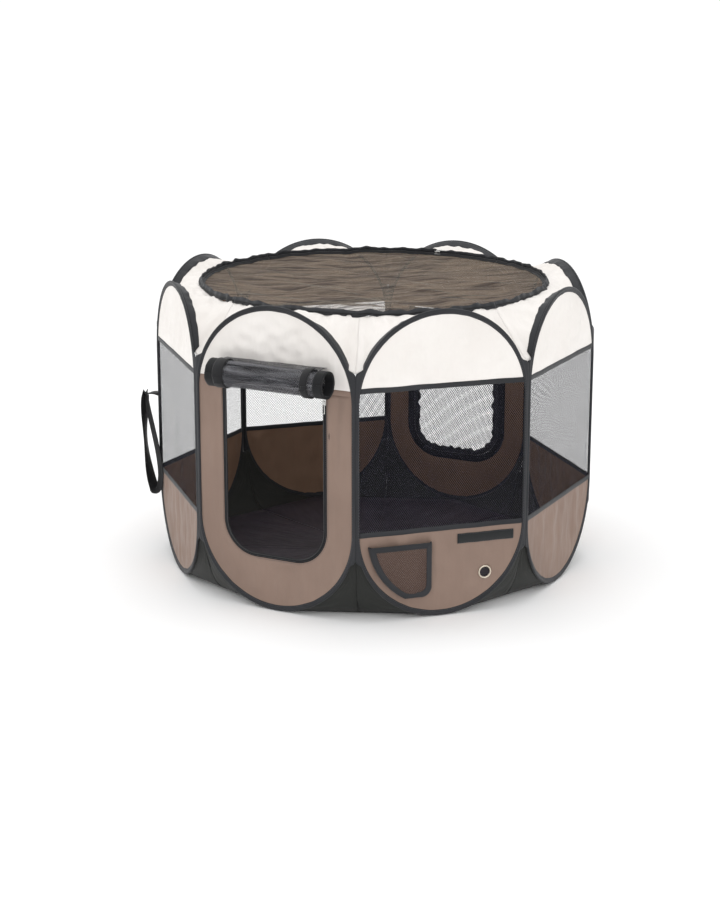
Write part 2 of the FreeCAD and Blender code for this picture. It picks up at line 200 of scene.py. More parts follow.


# %% [markdown]
# ## Coated polyester and other woven cloth
#
# The walls are thin plain-woven polyester with a coating on the inside. What the eye gets is a
# matt, even colour, a fine weave, faint creases from being folded away, and a darker inner
# side: the coating of the taupe cloth, and painted shade on the cream cloth, whose inside is
# cream too but lies in the dim inside of the pen. Real threads are 0.25 mm apart, too fine to
# show, so they are drawn several times coarser. The pattern reads the piece's own UV map, laid
# out in metres on the flat cloth.

# %% Cloth materials
def cloth_material(name, code, worn, thread, roughness, sheen, crease, gloss=0.2):
    """Woven cloth: colour mottled between two hexes, a weave bump and a broad crease bump."""
    soft = {"Sheen_Weight": sheen, "Sheen_Roughness": 0.5, "Specular_IOR_Level": gloss}
    made, tree, shader = new_material(name, **soft)
    flat = add_node(tree, "ShaderNodeUVMap", {"uv_map": "cloth"}).outputs["UV"]
    cloud = add_node(tree, "ShaderNodeTexNoise", None, {"Vector": flat, "Scale": 5.0, "Detail": 3.0})
    spread = {"Value": cloud.outputs["Fac"], "From Min": 0.35, "From Max": 0.7}
    mottle = add_node(tree, "ShaderNodeMapRange", None, spread)
    mix = add_node(tree, "ShaderNodeMix", {"data_type": "RGBA"}, {"Factor": mottle.outputs["Result"]})
    mix.inputs[6].default_value = colour(code)
    mix.inputs[7].default_value = colour(worn)
    across = {"Vector": flat, "Scale": wave_scale(thread)}
    warp = add_node(tree, "ShaderNodeTexWave", {"bands_direction": "X"}, across)
    weft = add_node(tree, "ShaderNodeTexWave", {"bands_direction": "Y"}, across)
    weave = add_node(tree, "ShaderNodeMath", {"operation": "MULTIPLY"})
    tree.links.new(warp.outputs["Fac"], weave.inputs[0])
    tree.links.new(weft.outputs["Fac"], weave.inputs[1])
    fine = {"Height": weave.outputs[0], "Distance": 0.2 * MM, "Strength": 0.35}
    woven = add_node(tree, "ShaderNodeBump", None, fine)
    drawn = {"Vector": flat, "Scale": (26.0, 7.0, 1.0), "Rotation": (0, 0, 0.12)}
    stretched = add_node(tree, "ShaderNodeMapping", None, drawn)
    folds = add_node(tree, "ShaderNodeTexNoise", None, {"Vector": stretched.outputs[0], "Scale": 1.0})
    broad = {"Height": folds.outputs["Fac"], "Distance": crease, "Strength": 0.6}
    broad["Normal"] = woven.outputs[0]
    creased = add_node(tree, "ShaderNodeBump", None, broad)
    level = {"Value": cloud.outputs["Fac"], "To Min": roughness - 0.06, "To Max": roughness + 0.06}
    rough = add_node(tree, "ShaderNodeMapRange", None, level)
    tree.links.new(mix.outputs[2], shader.inputs["Base Color"])
    tree.links.new(rough.outputs["Result"], shader.inputs["Roughness"])
    tree.links.new(creased.outputs["Normal"], shader.inputs["Normal"])
    print("cloth:", name)
    return made


cream_polyester = cloth_material(
    "cream_coated_polyester", "#EAE6E2", "#E1DCD7", 1.6 * MM, 0.62, 0.05, 12 * MM, 0.3
)
taupe_polyester = cloth_material(
    "taupe_coated_polyester", "#8C776B", "#7E6A5F", 1.6 * MM, 0.6, 0.06, 14 * MM, 0.25
)
# This brown is the taupe cloth's coating, and on the cream cloth's inside, which is cream, it is painted
# shade.
inner_coating_and_painted_shade = cloth_material("inner_coating_with_painted_shade", "#876C59", "#775E4D", 1.6 * MM, 0.55, 0.05, 9 * MM)
floor_nylon = cloth_material("charcoal_floor_nylon", "#38313A", "#2A242B", 2.4 * MM, 0.45, 0.05, 6 * MM)
gusset_nylon = cloth_material("black_gusset_nylon", "#2A2B29", "#20211F", 2.0 * MM, 0.55, 0.05, 5 * MM)
binding_tape = cloth_material(
    "black_grosgrain_binding", "#303134", "#242528", 1.4 * MM, 0.55, 0.1, 2.5 * MM
)
webbing = cloth_material("black_polypropylene_webbing", "#1E1E20", "#151517", 2.2 * MM, 0.6, 0.1, 1 * MM)
zip_cloth = cloth_material("black_zip_tape", "#17181A", "#101113", 1.4 * MM, 0.65, 0.08, 1.5 * MM)
hook_and_loop = cloth_material("black_hook_and_loop", "#232526", "#191B1C", 1.2 * MM, 0.85, 0.3, 1 * MM)
# The second finish goes on each cloth's inner face: the coating inside the taupe, painted shade inside the
# cream.
CREAM = [cream_polyester, inner_coating_and_painted_shade]
TAUPE = [taupe_polyester, inner_coating_and_painted_shade]

# %% [markdown]
# ## Knitted mesh
#
# The windows and the roof are an open knit, a net of small holes that lets about half the
# light through. Building every thread would take millions of faces, so the cloth is a thin
# sheet whose material cuts the holes: two sets of bands cross at a slant, and between them
# the sheet is nearly clear. The real holes are about 1 mm apart, too fine to show, so they are
# drawn a little over 3 mm apart. A net that lies in folds is denser along each of them, and
# its colour changes there: on the roof it darkens, partly from the denser layers and partly as
# painted shade, and on the rolled door it lightens, as a painted highlight. The roof's knit is
# black too, and its light grey-brown colour is painted light.

# %% Mesh materials
def thread_share(tree, flat, slant, spacing, cover):
    """One set of slanted threads: 1 on a thread, 0 between two, with soft sides."""
    turned = add_node(tree, "ShaderNodeMapping", None, {"Vector": flat, "Rotation": (0, 0, slant)})
    lines = {"Vector": turned.outputs[0], "Scale": wave_scale(spacing)}
    bands = add_node(tree, "ShaderNodeTexWave", {"bands_direction": "X"}, lines)
    limits = {"Value": bands.outputs["Fac"], "From Min": 0.92 - cover, "From Max": 1.08 - cover}
    smooth = {"interpolation_type": "SMOOTHSTEP"}
    return add_node(tree, "ShaderNodeMapRange", smooth, limits).outputs["Result"]


def fold_share(tree, flat, along, across, low, high):
    """Folds that lie along u, as long and as narrow as the two scales say."""
    drawn = add_node(tree, "ShaderNodeMapping", None, {"Vector": flat, "Scale": (along, across, 1.0)})
    noise_in = {"Vector": drawn.outputs[0], "Scale": 1.0, "Detail": 4.0, "Distortion": 0.6}
    fold = add_node(tree, "ShaderNodeTexNoise", None, noise_in)
    limits = {"Value": fold.outputs["Fac"], "From Min": low, "From Max": high}
    return add_node(tree, "ShaderNodeMapRange", None, limits).outputs["Result"]


def net_material(name, code, spacing, cover, haze, folded=None, streaks=0.0, across=110.0):
    """A see-through net. Where it lies in folds, its layers are denser and take the folded hex, which
    paints shade along the folds when darker and a highlight when lighter.
    """
    matt = {"Base_Color": colour(code), "Roughness": 0.75, "Specular_IOR_Level": 0.12}
    made, tree, shader = new_material(name, **matt)
    flat = add_node(tree, "ShaderNodeUVMap", {"uv_map": "cloth"}).outputs["UV"]
    net = add_node(tree, "ShaderNodeMath", {"operation": "MAXIMUM"})
    tree.links.new(thread_share(tree, flat, 0.6, spacing, cover), net.inputs[0])
    tree.links.new(thread_share(tree, flat, -0.6, spacing, cover), net.inputs[1])
    solid = {"Value": net.outputs[0], "To Min": haze, "To Max": 0.95}
    alpha = add_node(tree, "ShaderNodeMapRange", None, solid)
    tree.links.new(alpha.outputs["Result"], shader.inputs["Alpha"])
    if folded:
        broad = fold_share(tree, flat, 7.0, across, 0.4, 0.66)
        fine = fold_share(tree, flat, 16.0, 3.6 * across, 0.45, 0.7)
        both = add_node(tree, "ShaderNodeMath", {"operation": "MULTIPLY_ADD", "use_clamp": True})
        tree.links.new(fine, both.inputs[0])
        both.inputs[1].default_value = 0.55
        tree.links.new(broad, both.inputs[2])
        # The folded hex is painted along the folds: shade where it is darker, a highlight where it is
        # lighter.
        mix = add_node(tree, "ShaderNodeMix", {"data_type": "RGBA"}, {"Factor": both.outputs[0]})
        mix.inputs[6].default_value = colour(code)
        mix.inputs[7].default_value = colour(folded)
        tree.links.new(mix.outputs[2], shader.inputs["Base Color"])
        total = add_node(tree, "ShaderNodeMath", {"operation": "MULTIPLY_ADD", "use_clamp": True})
        tree.links.new(both.outputs[0], total.inputs[0])
        total.inputs[1].default_value = streaks
        tree.links.new(alpha.outputs["Result"], total.inputs[2])
        tree.links.new(total.outputs[0], shader.inputs["Alpha"])
    print("net:", name)
    return made


window_net = net_material("black_knitted_mesh", "#24242E", 3.4 * MM, 0.045, 0.01)
# The roof's knit is black like the windows'; its light grey-brown is painted light, for the light falling
# on the threads from above and the warm glow of the lit walls seen through them. Its dark folded hex is
# partly the denser layers and partly painted shade in the creases.
roof_net = net_material("roof_mesh_painted_light", "#9C8F80", 3.4 * MM, 0.08, 0.12, "#47413E", 0.45, 75.0)
# The roll's net is black; its light grey folded hex is a painted highlight along the roll's creases.
roll_net = net_material("black_rolled_mesh", "#26262A", 3.0 * MM, 0.08, 0.08, "#7C7C80", 0.25, 60.0)


# %% [markdown]
# ## Metal, nylon and thread
#
# The zip sliders are zinc castings with a bright plated skin, the eyelet is rolled brass
# plated with nickel, the hoops are blued spring steel and the zip coils are black nylon. Hard
# parts carry fine scuffs, so their roughness varies a little with a noise in object space.

# %% Hard materials
def hard_material(name, code, metallic, roughness, grain):
    """A hard finish whose roughness and surface vary with a fine noise."""
    made, tree, shader = new_material(name, Base_Color=colour(code), Metallic=metallic)
    here = add_node(tree, "ShaderNodeTexCoord").outputs["Object"]
    scuff = add_node(tree, "ShaderNodeTexNoise", None, {"Vector": here, "Scale": 1 / grain, "Detail": 4.0})
    level = {"Value": scuff.outputs["Fac"], "To Min": roughness - 0.08, "To Max": roughness + 0.12}
    rough = add_node(tree, "ShaderNodeMapRange", None, level)
    dent = {"Height": scuff.outputs["Fac"], "Distance": 0.05 * MM, "Strength": 0.4}
    bump = add_node(tree, "ShaderNodeBump", None, dent)
    tree.links.new(rough.outputs["Result"], shader.inputs["Roughness"])
    tree.links.new(bump.outputs["Normal"], shader.inputs["Normal"])
    return made


spring_steel = hard_material("blued_spring_steel", "#3C4046", 1.0, 0.3, 4 * MM)
plated_zinc = hard_material("plated_zinc_casting", "#D4D4D2", 1.0, 0.22, 2 * MM)
nickel_brass = hard_material("nickel_plated_brass", "#CFC4B4", 1.0, 0.25, 3 * MM)
coil_nylon = hard_material("black_nylon_coil", "#1E1E21", 0.0, 0.35, 1 * MM)
thread = hard_material("charcoal_sewing_thread", "#55555A", 0.0, 0.7, 1 * MM)
floor_white = hard_material("white_studio_floor", "#FCFCFC", 0.0, 0.8, 300 * MM)
print("materials:", len(bpy.data.materials))
for side in SIDES:
    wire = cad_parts[side + "_hoop"]
    wire.data.materials.clear()
    wire.data.materials.append(spring_steel)


# %% [markdown]
# ## From a grid to a sewn piece
#
# Almost everything on this pen is a strip or a sheet, so nearly every piece starts as one
# bmesh grid. Its u and v run from 0 to 1, and a small function says where each corner of
# the grid goes. The same grid keeps the flat cut as a UV map in metres, so the weave runs true
# and the cut's own area can be measured.

# %% Grid, sweep and piece helpers
WELD = 0.02 * MM


def grid(columns, rows, place, flat):
    """A grid moved to place(u, v), with flat(u, v) in metres as its UV map."""
    made = bmesh.new()
    layer = made.loops.layers.uv.new("cloth")
    bmesh.ops.create_grid(made, x_segments=columns, y_segments=rows, size=0.5)
    for face in made.faces:
        for loop in face.loops:
            loop[layer].uv = flat(loop.vert.co.x + 0.5, loop.vert.co.y + 0.5)
    for vert in made.verts:
        vert.co = place(vert.co.x + 0.5, vert.co.y + 0.5)
    return made


def empty_piece():
    """A bmesh with nothing in it but the layer that keeps the flat cut."""
    made = bmesh.new()
    made.loops.layers.uv.new("cloth")
    return made


def both_faces(edge):
    """A tape's section from its upper side's corners, with the same corners underneath."""
    return edge + [(a, -b) for a, b in reversed(edge)]


def sweep(path, columns, ring, length, closed=False):
    """A closed section carried along a path. path(u) gives a centre and two directions, and
    ring(u) gives the section's corners as distances along them."""
    rows = len(ring(0))

    def place(u, v):
        centre, across, out = path(u)
        a, b = ring(u)[round(v * rows) % rows]
        return centre + across * a + out * b

    made = grid(columns, rows, place, lambda u, v: (u * length, v * rows * 1.5 * MM))
    bmesh.ops.remove_doubles(made, verts=made.verts, dist=0.001 * MM)
    if not closed:
        bmesh.ops.holes_fill(made, edges=[e for e in made.edges if e.is_boundary], sides=rows)
    bmesh.ops.recalc_face_normals(made, faces=made.faces)
    return made


def cut_size(made):
    """The width, length and area of the flat cut that a bmesh keeps as its UV map."""
    layer = made.loops.layers.uv["cloth"]
    area = 0.0
    spots = []
    for face in made.faces:
        corners = [loop[layer].uv.copy() for loop in face.loops]
        spots += corners
        for a, b in zip(corners, corners[1:] + corners[:1]):
            area += (a.x * b.y - b.x * a.y) / 2
    width = max(p.x for p in spots) - min(p.x for p in spots)
    length = max(p.y for p in spots) - min(p.y for p in spots)
    return width, length, abs(area)


def piece(name, parts, body, finishes, matrix=None, wall=0.0, hides=(), held=None):
    """One object from bmeshes: welded, moved into place, given a wall, finishes and a body."""
    whole = bmesh.new()
    data = bpy.data.meshes.new(name)
    for part in parts:
        part.to_mesh(data)
        part.free()
        whole.from_mesh(data)
    bmesh.ops.remove_doubles(whole, verts=whole.verts, dist=WELD)
    width, length, area = cut_size(whole) if held else (0, 0, 0)
    if matrix:
        bmesh.ops.transform(whole, matrix=matrix, verts=whole.verts)
    whole.to_mesh(data)
    whole.free()
    data.shade_smooth()
    made = bpy.data.objects.new(name, data)
    bpy.context.scene.collection.objects.link(made)
    for finish in finishes:
        data.materials.append(finish)
    if wall:
        shell = made.modifiers.new("wall", "SOLIDIFY")
        shell.thickness = wall
        shell.offset = -1
        shell.material_offset = len(finishes) - 1
    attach(made, body)
    if hides:
        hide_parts(*hides)
    return made


def stitches(path, length, pitch, start=0.0, end=1.0):
    """Short thread lumps along a path; path(u) gives a centre and the direction out of the cloth."""
    made = empty_piece()
    count = round(length * (end - start) / pitch)
    for index in range(count):
        u = start + (end - start) * (index + 0.5) / count
        centre, out = path(u)
        ahead = (path(min(u + 0.001, 1))[0] - path(u - 0.001)[0]).normalized()
        turned = Matrix((ahead, out.cross(ahead), out)).transposed().to_4x4()
        swell = Matrix.Diagonal((0.36 * pitch, 0.35 * MM, 0.3 * MM, 1))
        lump = Matrix.Translation(centre) @ turned @ swell
        bmesh.ops.create_icosphere(made, subdivisions=1, radius=1, matrix=lump)
    return made


# %% [markdown]
# ## The hoops' binding
#
# A folded grosgrain tape is sewn round each hoop. Over the wire it makes a round bead, and
# inside the bead its two edges lie flat on the cloth. On the arches the tape is wider and
# puckers, because a straight tape can't follow a curve. Where two hoops stand side by side the
# tapes are sewn to each other, and they fill the narrow foot of the V between two arches. A
# section swept round the hoop, with its inner and outer widths changing on the way, gives all
# of that, and the seam tapes beside the windows are the same sweep along a straight line.

# %% Binding
STRAIGHT = ARCH - FOOT
BEND = math.pi * HOOP_HALF
HOOP_LENGTH = 2 * (STRAIGHT + BEND)
BEAD = 2.6 * MM
FLAT = 0.9 * MM
SIDE_REACH = 2.8 * MM
ARCH_REACH = 8.0 * MM
VEE_TOP = SKIRT_VALLEY - 12 * MM
VEE_FOOT = GUSSET_TOP - 6 * MM
SEWN_GAP = 0.1 * MM


def hoop_path(u):
    """A point of the hoop's line, the direction inwards in the panel, and the direction outside."""
    run = (u % 1) * HOOP_LENGTH
    outside = Vector((0, -1, 0))
    if run <= BEND:
        angle = run / HOOP_HALF
        away = Vector((math.cos(angle), 0, math.sin(angle)))
        return Vector((0, 0, ARCH)) + away * HOOP_HALF, -away, outside
    if run <= BEND + STRAIGHT:
        return Vector((-HOOP_HALF, 0, ARCH - (run - BEND))), Vector((1, 0, 0)), outside
    if run <= 2 * BEND + STRAIGHT:
        angle = math.pi + (run - BEND - STRAIGHT) / HOOP_HALF
        away = Vector((math.cos(angle), 0, math.sin(angle)))
        return Vector((0, 0, FOOT)) + away * HOOP_HALF, -away, outside
    return Vector((HOOP_HALF, 0, FOOT + run - 2 * BEND - STRAIGHT)), Vector((-1, 0, 0)), outside


def flap_reach(u, seed):
    """How far the tape's inner edge lies in from the hoop's line."""
    _, inwards, _ = hoop_path(u)
    round_arch = abs(inwards.z) ** 0.8
    waver = 1 + 0.09 * noise.noise(Vector((u * HOOP_LENGTH / 0.022, seed, 0))) * round_arch
    return (SIDE_REACH + (ARCH_REACH - SIDE_REACH) * round_arch) * waver


def sewn_reach(u):
    """How far the tape stands out beyond the wire: as far as its neighbour, or just its bead."""
    centre, inwards, _ = hoop_path(u)
    to_corner = (CORNER - abs(centre.x)) / max(abs(inwards.x), 0.3) - SEWN_GAP
    near = min(ease(VEE_TOP + 6 * MM - centre.z, 14 * MM), ease(centre.z - VEE_FOOT + 6 * MM, 14 * MM))
    return BEAD + max(to_corner - BEAD, 0) * near


def binding_ring(u, seed):
    """The tape's section: a bead round the wire, with a flat flap inside and a flat edge outside."""
    outer = sewn_reach(u)
    inner = flap_reach(u, seed)
    knee = 0.7 * BEAD
    stations = [-outer, -(outer + knee) / 2, -knee, -knee / 2, 0, knee / 2, knee]
    stations += [knee + (inner - knee) * share for share in (0.35, 0.7, 1)]
    pucker = 0.9 * MM * noise.noise(Vector((u * HOOP_LENGTH / 0.012, seed, 5)))
    ring = []
    for side in (1, -1):
        for a in stations if side > 0 else reversed(stations):
            bead = math.sqrt(max(BEAD**2 - a * a, 0))
            sway = pucker * ease(a - knee, 6 * MM) * ease(inner - SIDE_REACH, 6 * MM)
            thin = 0.5 if a in (stations[0], stations[-1]) else 1
            ring.append((a, side * max(bead, FLAT) * thin + sway))
    return ring


def seam_tape(height, seed):
    """A tape sewn across the panel, a little wavy."""
    span = half_width(height, 2 * MM)

    def path(u):
        x = span * (2 * u - 1)
        wave = 0.8 * MM * noise.noise(Vector((x / 0.05, seed, height))) * ease(span - abs(x), 20 * MM)
        return Vector((x, 0, height + wave)), Vector((0, 0, 1)), Vector((0, -1, 0))

    half = SEAM_TAPE / 2
    ring = both_faces([(-half, 0.4 * MM), (-half * 0.8, 1 * MM), (half * 0.8, 1 * MM), (half, 0.4 * MM)])
    return sweep(path, 60, lambda u: ring, 2 * span)


def binding_stitch_path(u, seed):
    """The stitch line near the tape's inner edge, on the outside."""
    centre, inwards, outside = hoop_path(u)
    inset = flap_reach(u, seed) - 2 * MM
    swell = max(math.sqrt(max(BEAD**2 - inset**2, 0)), FLAT)
    return centre + inwards * inset + outside * (swell + 0.15 * MM), outside


for index, side in enumerate(SIDES):
    parts = [sweep(hoop_path, 300, lambda u: binding_ring(u, index), HOOP_LENGTH, closed=True)]
    if side not in DOOR_SIDES:
        parts += [seam_tape(UPPER_SEAM, index), seam_tape(LOWER_SEAM, index)]
    body = side + "_panel"
    name = side + "_binding"
    piece(name + "_tape", parts, body, [binding_tape], panel_matrix(index), hides=[name])
    sewn = stitches(lambda u: binding_stitch_path(u, index), HOOP_LENGTH, 5 * MM)
    piece(side + "_stitching", [sewn], body, [thread], panel_matrix(index))
print("bindings:", len(SIDES), "of length", round(HOOP_LENGTH, 3))

# %% [markdown]
# ## The cloth inside a hoop
#
# Each panel is cream cloth on top, mesh in the middle and taupe cloth at the bottom. The cloth
# is held tight all round by the binding, so it can only ripple in the middle: the cream fans
# out from the seam in soft radial folds, and the taupe hangs in long upright ones. Noise that
# is stretched along each kind of fold gives them, and it dies away towards every seam. Only a
# few millimetres are needed, and a cloth simulation would not hold the seams as straight.

# %% Panel cloth
def panel_box(node, index):
    """A node's lowest and highest corners in the coordinates of its own panel."""
    back_to_panel = panel_matrix(index).inverted()
    spots = [back_to_panel @ v.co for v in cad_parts[node].data.vertices]
    low = Vector([min(p[axis] for p in spots) for axis in range(3)])
    high = Vector([max(p[axis] for p in spots) for axis in range(3)])
    return low, high


pocket_panel = SIDES.index("front_right")
eyelet_low, eyelet_high = panel_box("bottle_eyelet", pocket_panel)
EYELET_X = (eyelet_low.x + eyelet_high.x) / 2
EYELET_Z = (eyelet_low.z + eyelet_high.z) / 2
EYELET_FLANGE = (eyelet_high.x - eyelet_low.x) / 2
EYELET_BORE = 10 * MM
strip_low, strip_high = panel_box("bottle_strip", pocket_panel)
STRIP_LEFT = strip_low.x
STRIP_RIGHT = strip_high.x
STRIP_MIDDLE = (strip_low.z + strip_high.z) / 2
STRIP_HALF = (strip_high.z - strip_low.z) / 2
CLOTH = 0.5 * MM
KNIT = 0.8 * MM
UNDER = 2 * MM
DENT = 3.2 * MM
FAN_FOLD = 7 * MM
HANGING_FOLD = 5.5 * MM
WINDOW_SLACK = 2.2 * MM


def wrinkle(x, y, z, size):
    """A number from -1 to 1 that changes smoothly over the size given."""
    return noise.noise(Vector((x / size, y / size, z / size)))


def fan_fold(x, height, seed):
    """Folds of the cream cloth, spreading from low in the middle of the panel."""
    rise = height - ARCH + 0.25
    angle = math.atan2(x, rise)
    drawn = wrinkle(angle * 0.3, seed, rise * 0.25, 0.035)
    drawn += 0.5 * wrinkle(angle * 0.3, seed + 9, rise, 0.018)
    held = ease(depth_inside(x, height) - 8 * MM, 35 * MM) * ease(height - UPPER_SEAM, 25 * MM)
    return max(FAN_FOLD * drawn * held, -DENT)


def hanging_fold(x, height, seed):
    """Folds of the taupe cloth, long and upright."""
    drawn = wrinkle(x, seed, height * 0.2, 0.03) + 0.4 * wrinkle(x * 0.8, seed + 9, height * 0.6, 0.02)
    return HANGING_FOLD * drawn * ease(depth_inside(x, height) - 5 * MM, 30 * MM)


def arch_cloth(seed):
    """The cream cloth, from the seam up to the arch."""
    def flat(u, v):
        x = half_width(UPPER_SEAM, UNDER) * (2 * u - 1)
        top = ARCH + math.sqrt(max((HOOP_HALF - UNDER) ** 2 - x * x, 0))
        return x, UPPER_SEAM + (top - UPPER_SEAM) * v

    def place(u, v):
        x, height = flat(u, v)
        return Vector((x, -fan_fold(x, height, seed), height))

    return grid(72, 30, place, flat)


def calm_near(x, height):
    """Nearly nothing by the sewn-on strip and the eyelet, and 1 away from them."""
    past_strip = max(STRIP_LEFT - x, x - STRIP_RIGHT, abs(height - STRIP_MIDDLE) - STRIP_HALF, 0)
    past_eyelet = max(math.hypot(x - EYELET_X, height - EYELET_Z) - EYELET_FLANGE, 0)
    return 0.06 + 0.94 * ease(min(past_strip, past_eyelet) - 3 * MM, 30 * MM)


def foot_cloth(seed):
    """The taupe cloth of a window panel, from the foot of the hoop up to the seam."""
    def flat(u, v):
        x = (HOOP_HALF - UNDER) * (2 * u - 1)
        low = FOOT - math.sqrt(max((HOOP_HALF - UNDER) ** 2 - x * x, 0))
        return x, low + (LOWER_SEAM - low) * v

    def place(u, v):
        x, height = flat(u, v)
        fade = ease(LOWER_SEAM - height - 4 * MM, 20 * MM)
        if seed == pocket_panel:
            fade *= calm_near(x, height)
        return Vector((x, -hanging_fold(x, height, seed) * fade, height))

    return grid(72, 30, place, flat)


def cut_hole(made, x, height, radius):
    """A round hole in a sheet: its faces are taken out and the rim is drawn to the circle."""
    middle = Vector((x, 0, height))
    inside = [f for f in made.faces if (f.calc_center_median() - middle).length < radius]
    bmesh.ops.delete(made, geom=inside, context="FACES")
    for vert in made.verts:
        away = Vector((vert.co.x - x, 0, vert.co.z - height))
        if vert.is_boundary and away.length < 1.6 * radius:
            vert.co = middle + away.normalized() * radius


def window_mesh(seed):
    """The mesh of a window panel, drawn in a little between its two seams."""
    def flat(u, v):
        height = LOWER_SEAM + (UPPER_SEAM - LOWER_SEAM) * v
        return half_width(height, UNDER) * (2 * u - 1), height

    def place(u, v):
        x, height = flat(u, v)
        slack = WINDOW_SLACK * wrinkle(x * 0.5, seed, height, 0.07)
        slack *= ease(depth_inside(x, height), 40 * MM)
        held = ease(UPPER_SEAM - height, 30 * MM) * ease(height - LOWER_SEAM, 30 * MM)
        return Vector((x, slack * held, height))

    return grid(48, 40, place, flat)


def fit_out(name, parts, index, finishes, wall, node):
    """A sheet of one panel that stands for its CAD node and hangs from the panel's binding."""
    side = SIDES[index]
    place = panel_matrix(index)
    return piece(name, parts, side + "_panel", finishes, place, wall, [node], "stretched")


for index, side in enumerate(SIDES):
    arch = [arch_cloth(index)]
    fit_out(side + "_arch_cloth", arch, index, CREAM, CLOTH, side + "_top_cloth")
    if side not in DOOR_SIDES:
        lower = side + "_lower_cloth"
        foot = foot_cloth(index)
        if side == "front_right":
            cut_hole(foot, EYELET_X, EYELET_Z, EYELET_BORE + 1.2 * MM)
        fit_out(side + "_foot_cloth", [foot], index, TAUPE, CLOTH, lower)
        window = [window_mesh(index)]
        fit_out(side + "_window", window, index, [window_net], KNIT, side + "_mesh")
print("panel cloths are in place")

# %% [markdown]
# ## The doorways
#
# The front and back panels have a U-shaped doorway. The taupe cloth runs round it as one wide
# strip, from the U out to the hoop, with a narrow lintel under the cream. A zip tape edges the
# U, and the tape carries a nylon coil. One function gives points of the U at any distance from
# the doorway, so the cloth, both tapes, the coil and the stitches all follow the same line.

# %% The doorway's line and the cloth round it
TAPE = 14 * MM
zip_low, zip_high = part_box("front_door_zip")
DOOR_HALF = zip_high.x - TAPE
DOOR_BOTTOM = zip_low.z + TAPE
DOOR_TOP = zip_high.z
DOOR_CORNER = 62 * MM
SIDE_SHARE = 0.3
BEND_SHARE = 0.12
TAPE_SHOWN = 8 * MM
OVER_TAPE = 1.3 * MM
TAPE_SLOPE = 8 * MM
COIL_RADIUS = 1.5 * MM


def u_point(u, grow=0.0, top=DOOR_TOP):
    """A point of the doorway's U, moved out by grow, and the direction away from the opening."""
    half = DOOR_HALF + grow
    corner = DOOR_CORNER + grow
    shoulder = DOOR_BOTTOM + DOOR_CORNER
    hand = 1 if u <= 0.5 else -1
    run = u if u <= 0.5 else 1 - u
    if run < SIDE_SHARE:
        x, z, away = half, top + (shoulder - top) * run / SIDE_SHARE, (1, 0)
    elif run < SIDE_SHARE + BEND_SHARE:
        angle = (run - SIDE_SHARE) / BEND_SHARE * math.pi / 2
        away = (math.cos(angle), -math.sin(angle))
        x, z = half - corner + corner * away[0], shoulder + corner * away[1]
    else:
        share = (run - SIDE_SHARE - BEND_SHARE) / (0.5 - SIDE_SHARE - BEND_SHARE)
        x, z, away = (half - corner) * (1 - share), shoulder - corner, (0, -1)
    return Vector((hand * x, 0, z)), Vector((hand * away[0], 0, away[1]))


def u_length(grow=0.0, steps=200):
    """The length of the U, added up over short steps."""
    spots = [u_point(step / steps, grow)[0] for step in range(steps + 1)]
    return sum((b - a).length for a, b in zip(spots, spots[1:]))


def hoop_beside(u):
    """The point of the hoop that faces a point of the U."""
    hand = 1 if u <= 0.5 else -1
    run = u if u <= 0.5 else 1 - u
    if run < SIDE_SHARE:
        z = u_point(u, TAPE_SHOWN)[0].z
        return Vector((hand * half_width(z, UNDER), 0, z))
    angle = (run - SIDE_SHARE) / (0.5 - SIDE_SHARE) * math.pi / 2
    radius = HOOP_HALF - UNDER
    return Vector((hand * radius * math.cos(angle), 0, FOOT - radius * math.sin(angle)))


def surround_cloth(seed):
    """The taupe cloth from the zip tape out to the hoop, and the lintel over the doorway."""
    def folded(x, height, near):
        fade = ease(near - TAPE, 14 * MM) * ease(UPPER_SEAM - height, 30 * MM)
        over_tape = OVER_TAPE * (1 - ease(near - TAPE, TAPE_SLOPE))
        return Vector((x, -hanging_fold(x, height, seed) * fade - over_tape, height))

    def flat(u, v):
        spot = u_point(u, TAPE_SHOWN)[0].lerp(hoop_beside(u), v)
        return spot.x, spot.z

    def place(u, v):
        x, height = flat(u, v)
        return folded(x, height, (Vector((x, 0, height)) - u_point(u, 0)[0]).length)

    parts = [grid(120, 14, place, flat)]
    edge = DOOR_HALF + TAPE_SHOWN
    for start, stop, columns in ((-1, -edge, 14), (-edge, edge, 24), (edge, 1, 14)):
        def lintel(u, v, start=start, stop=stop):
            height = DOOR_TOP + (UPPER_SEAM - DOOR_TOP) * v
            wide = half_width(height, UNDER)
            left = start * wide if abs(start) == 1 else start
            right = stop * wide if abs(stop) == 1 else stop
            return left + (right - left) * u, height

        def lintel_place(u, v, lintel=lintel):
            x, height = lintel(u, v)
            over_tape = OVER_TAPE * (1 - ease(height - DOOR_TOP, TAPE_SLOPE)) * (abs(x) < edge + 1 * MM)
            return Vector((x, -over_tape, height))

        parts.append(grid(columns, 3, lintel_place, lintel))
    return parts


def u_strip(inner, outer, half_thickness, length, columns=150):
    """A flat tape round the U, from inner to outer, measured from the doorway's edge."""
    wide = outer - inner

    def path(u):
        spot, away = u_point(u, inner)
        waver = 0.5 * MM * wrinkle(u * length, 3, 0, 0.03)
        return spot + Vector((0, waver, 0)), away, Vector((0, -1, 0))

    edge = [(0, half_thickness * 0.6), (wide * 0.1, half_thickness), (wide * 0.9, half_thickness)]
    ring = both_faces(edge + [(wide, half_thickness * 0.6)])
    return sweep(path, columns, lambda u: ring, length)


def coil(path, length, radius, pitch):
    """A zip's coil: a cord whose thickness goes up and down once for every turn."""
    columns = 2 * round(length / pitch)
    fat = [(radius * math.cos(k * math.pi / 3), radius * math.sin(k * math.pi / 3)) for k in range(6)]
    slim = [(0.72 * a, 0.72 * b) for a, b in fat]
    return sweep(path, columns, lambda u: fat if round(u * columns) % 2 else slim, length)


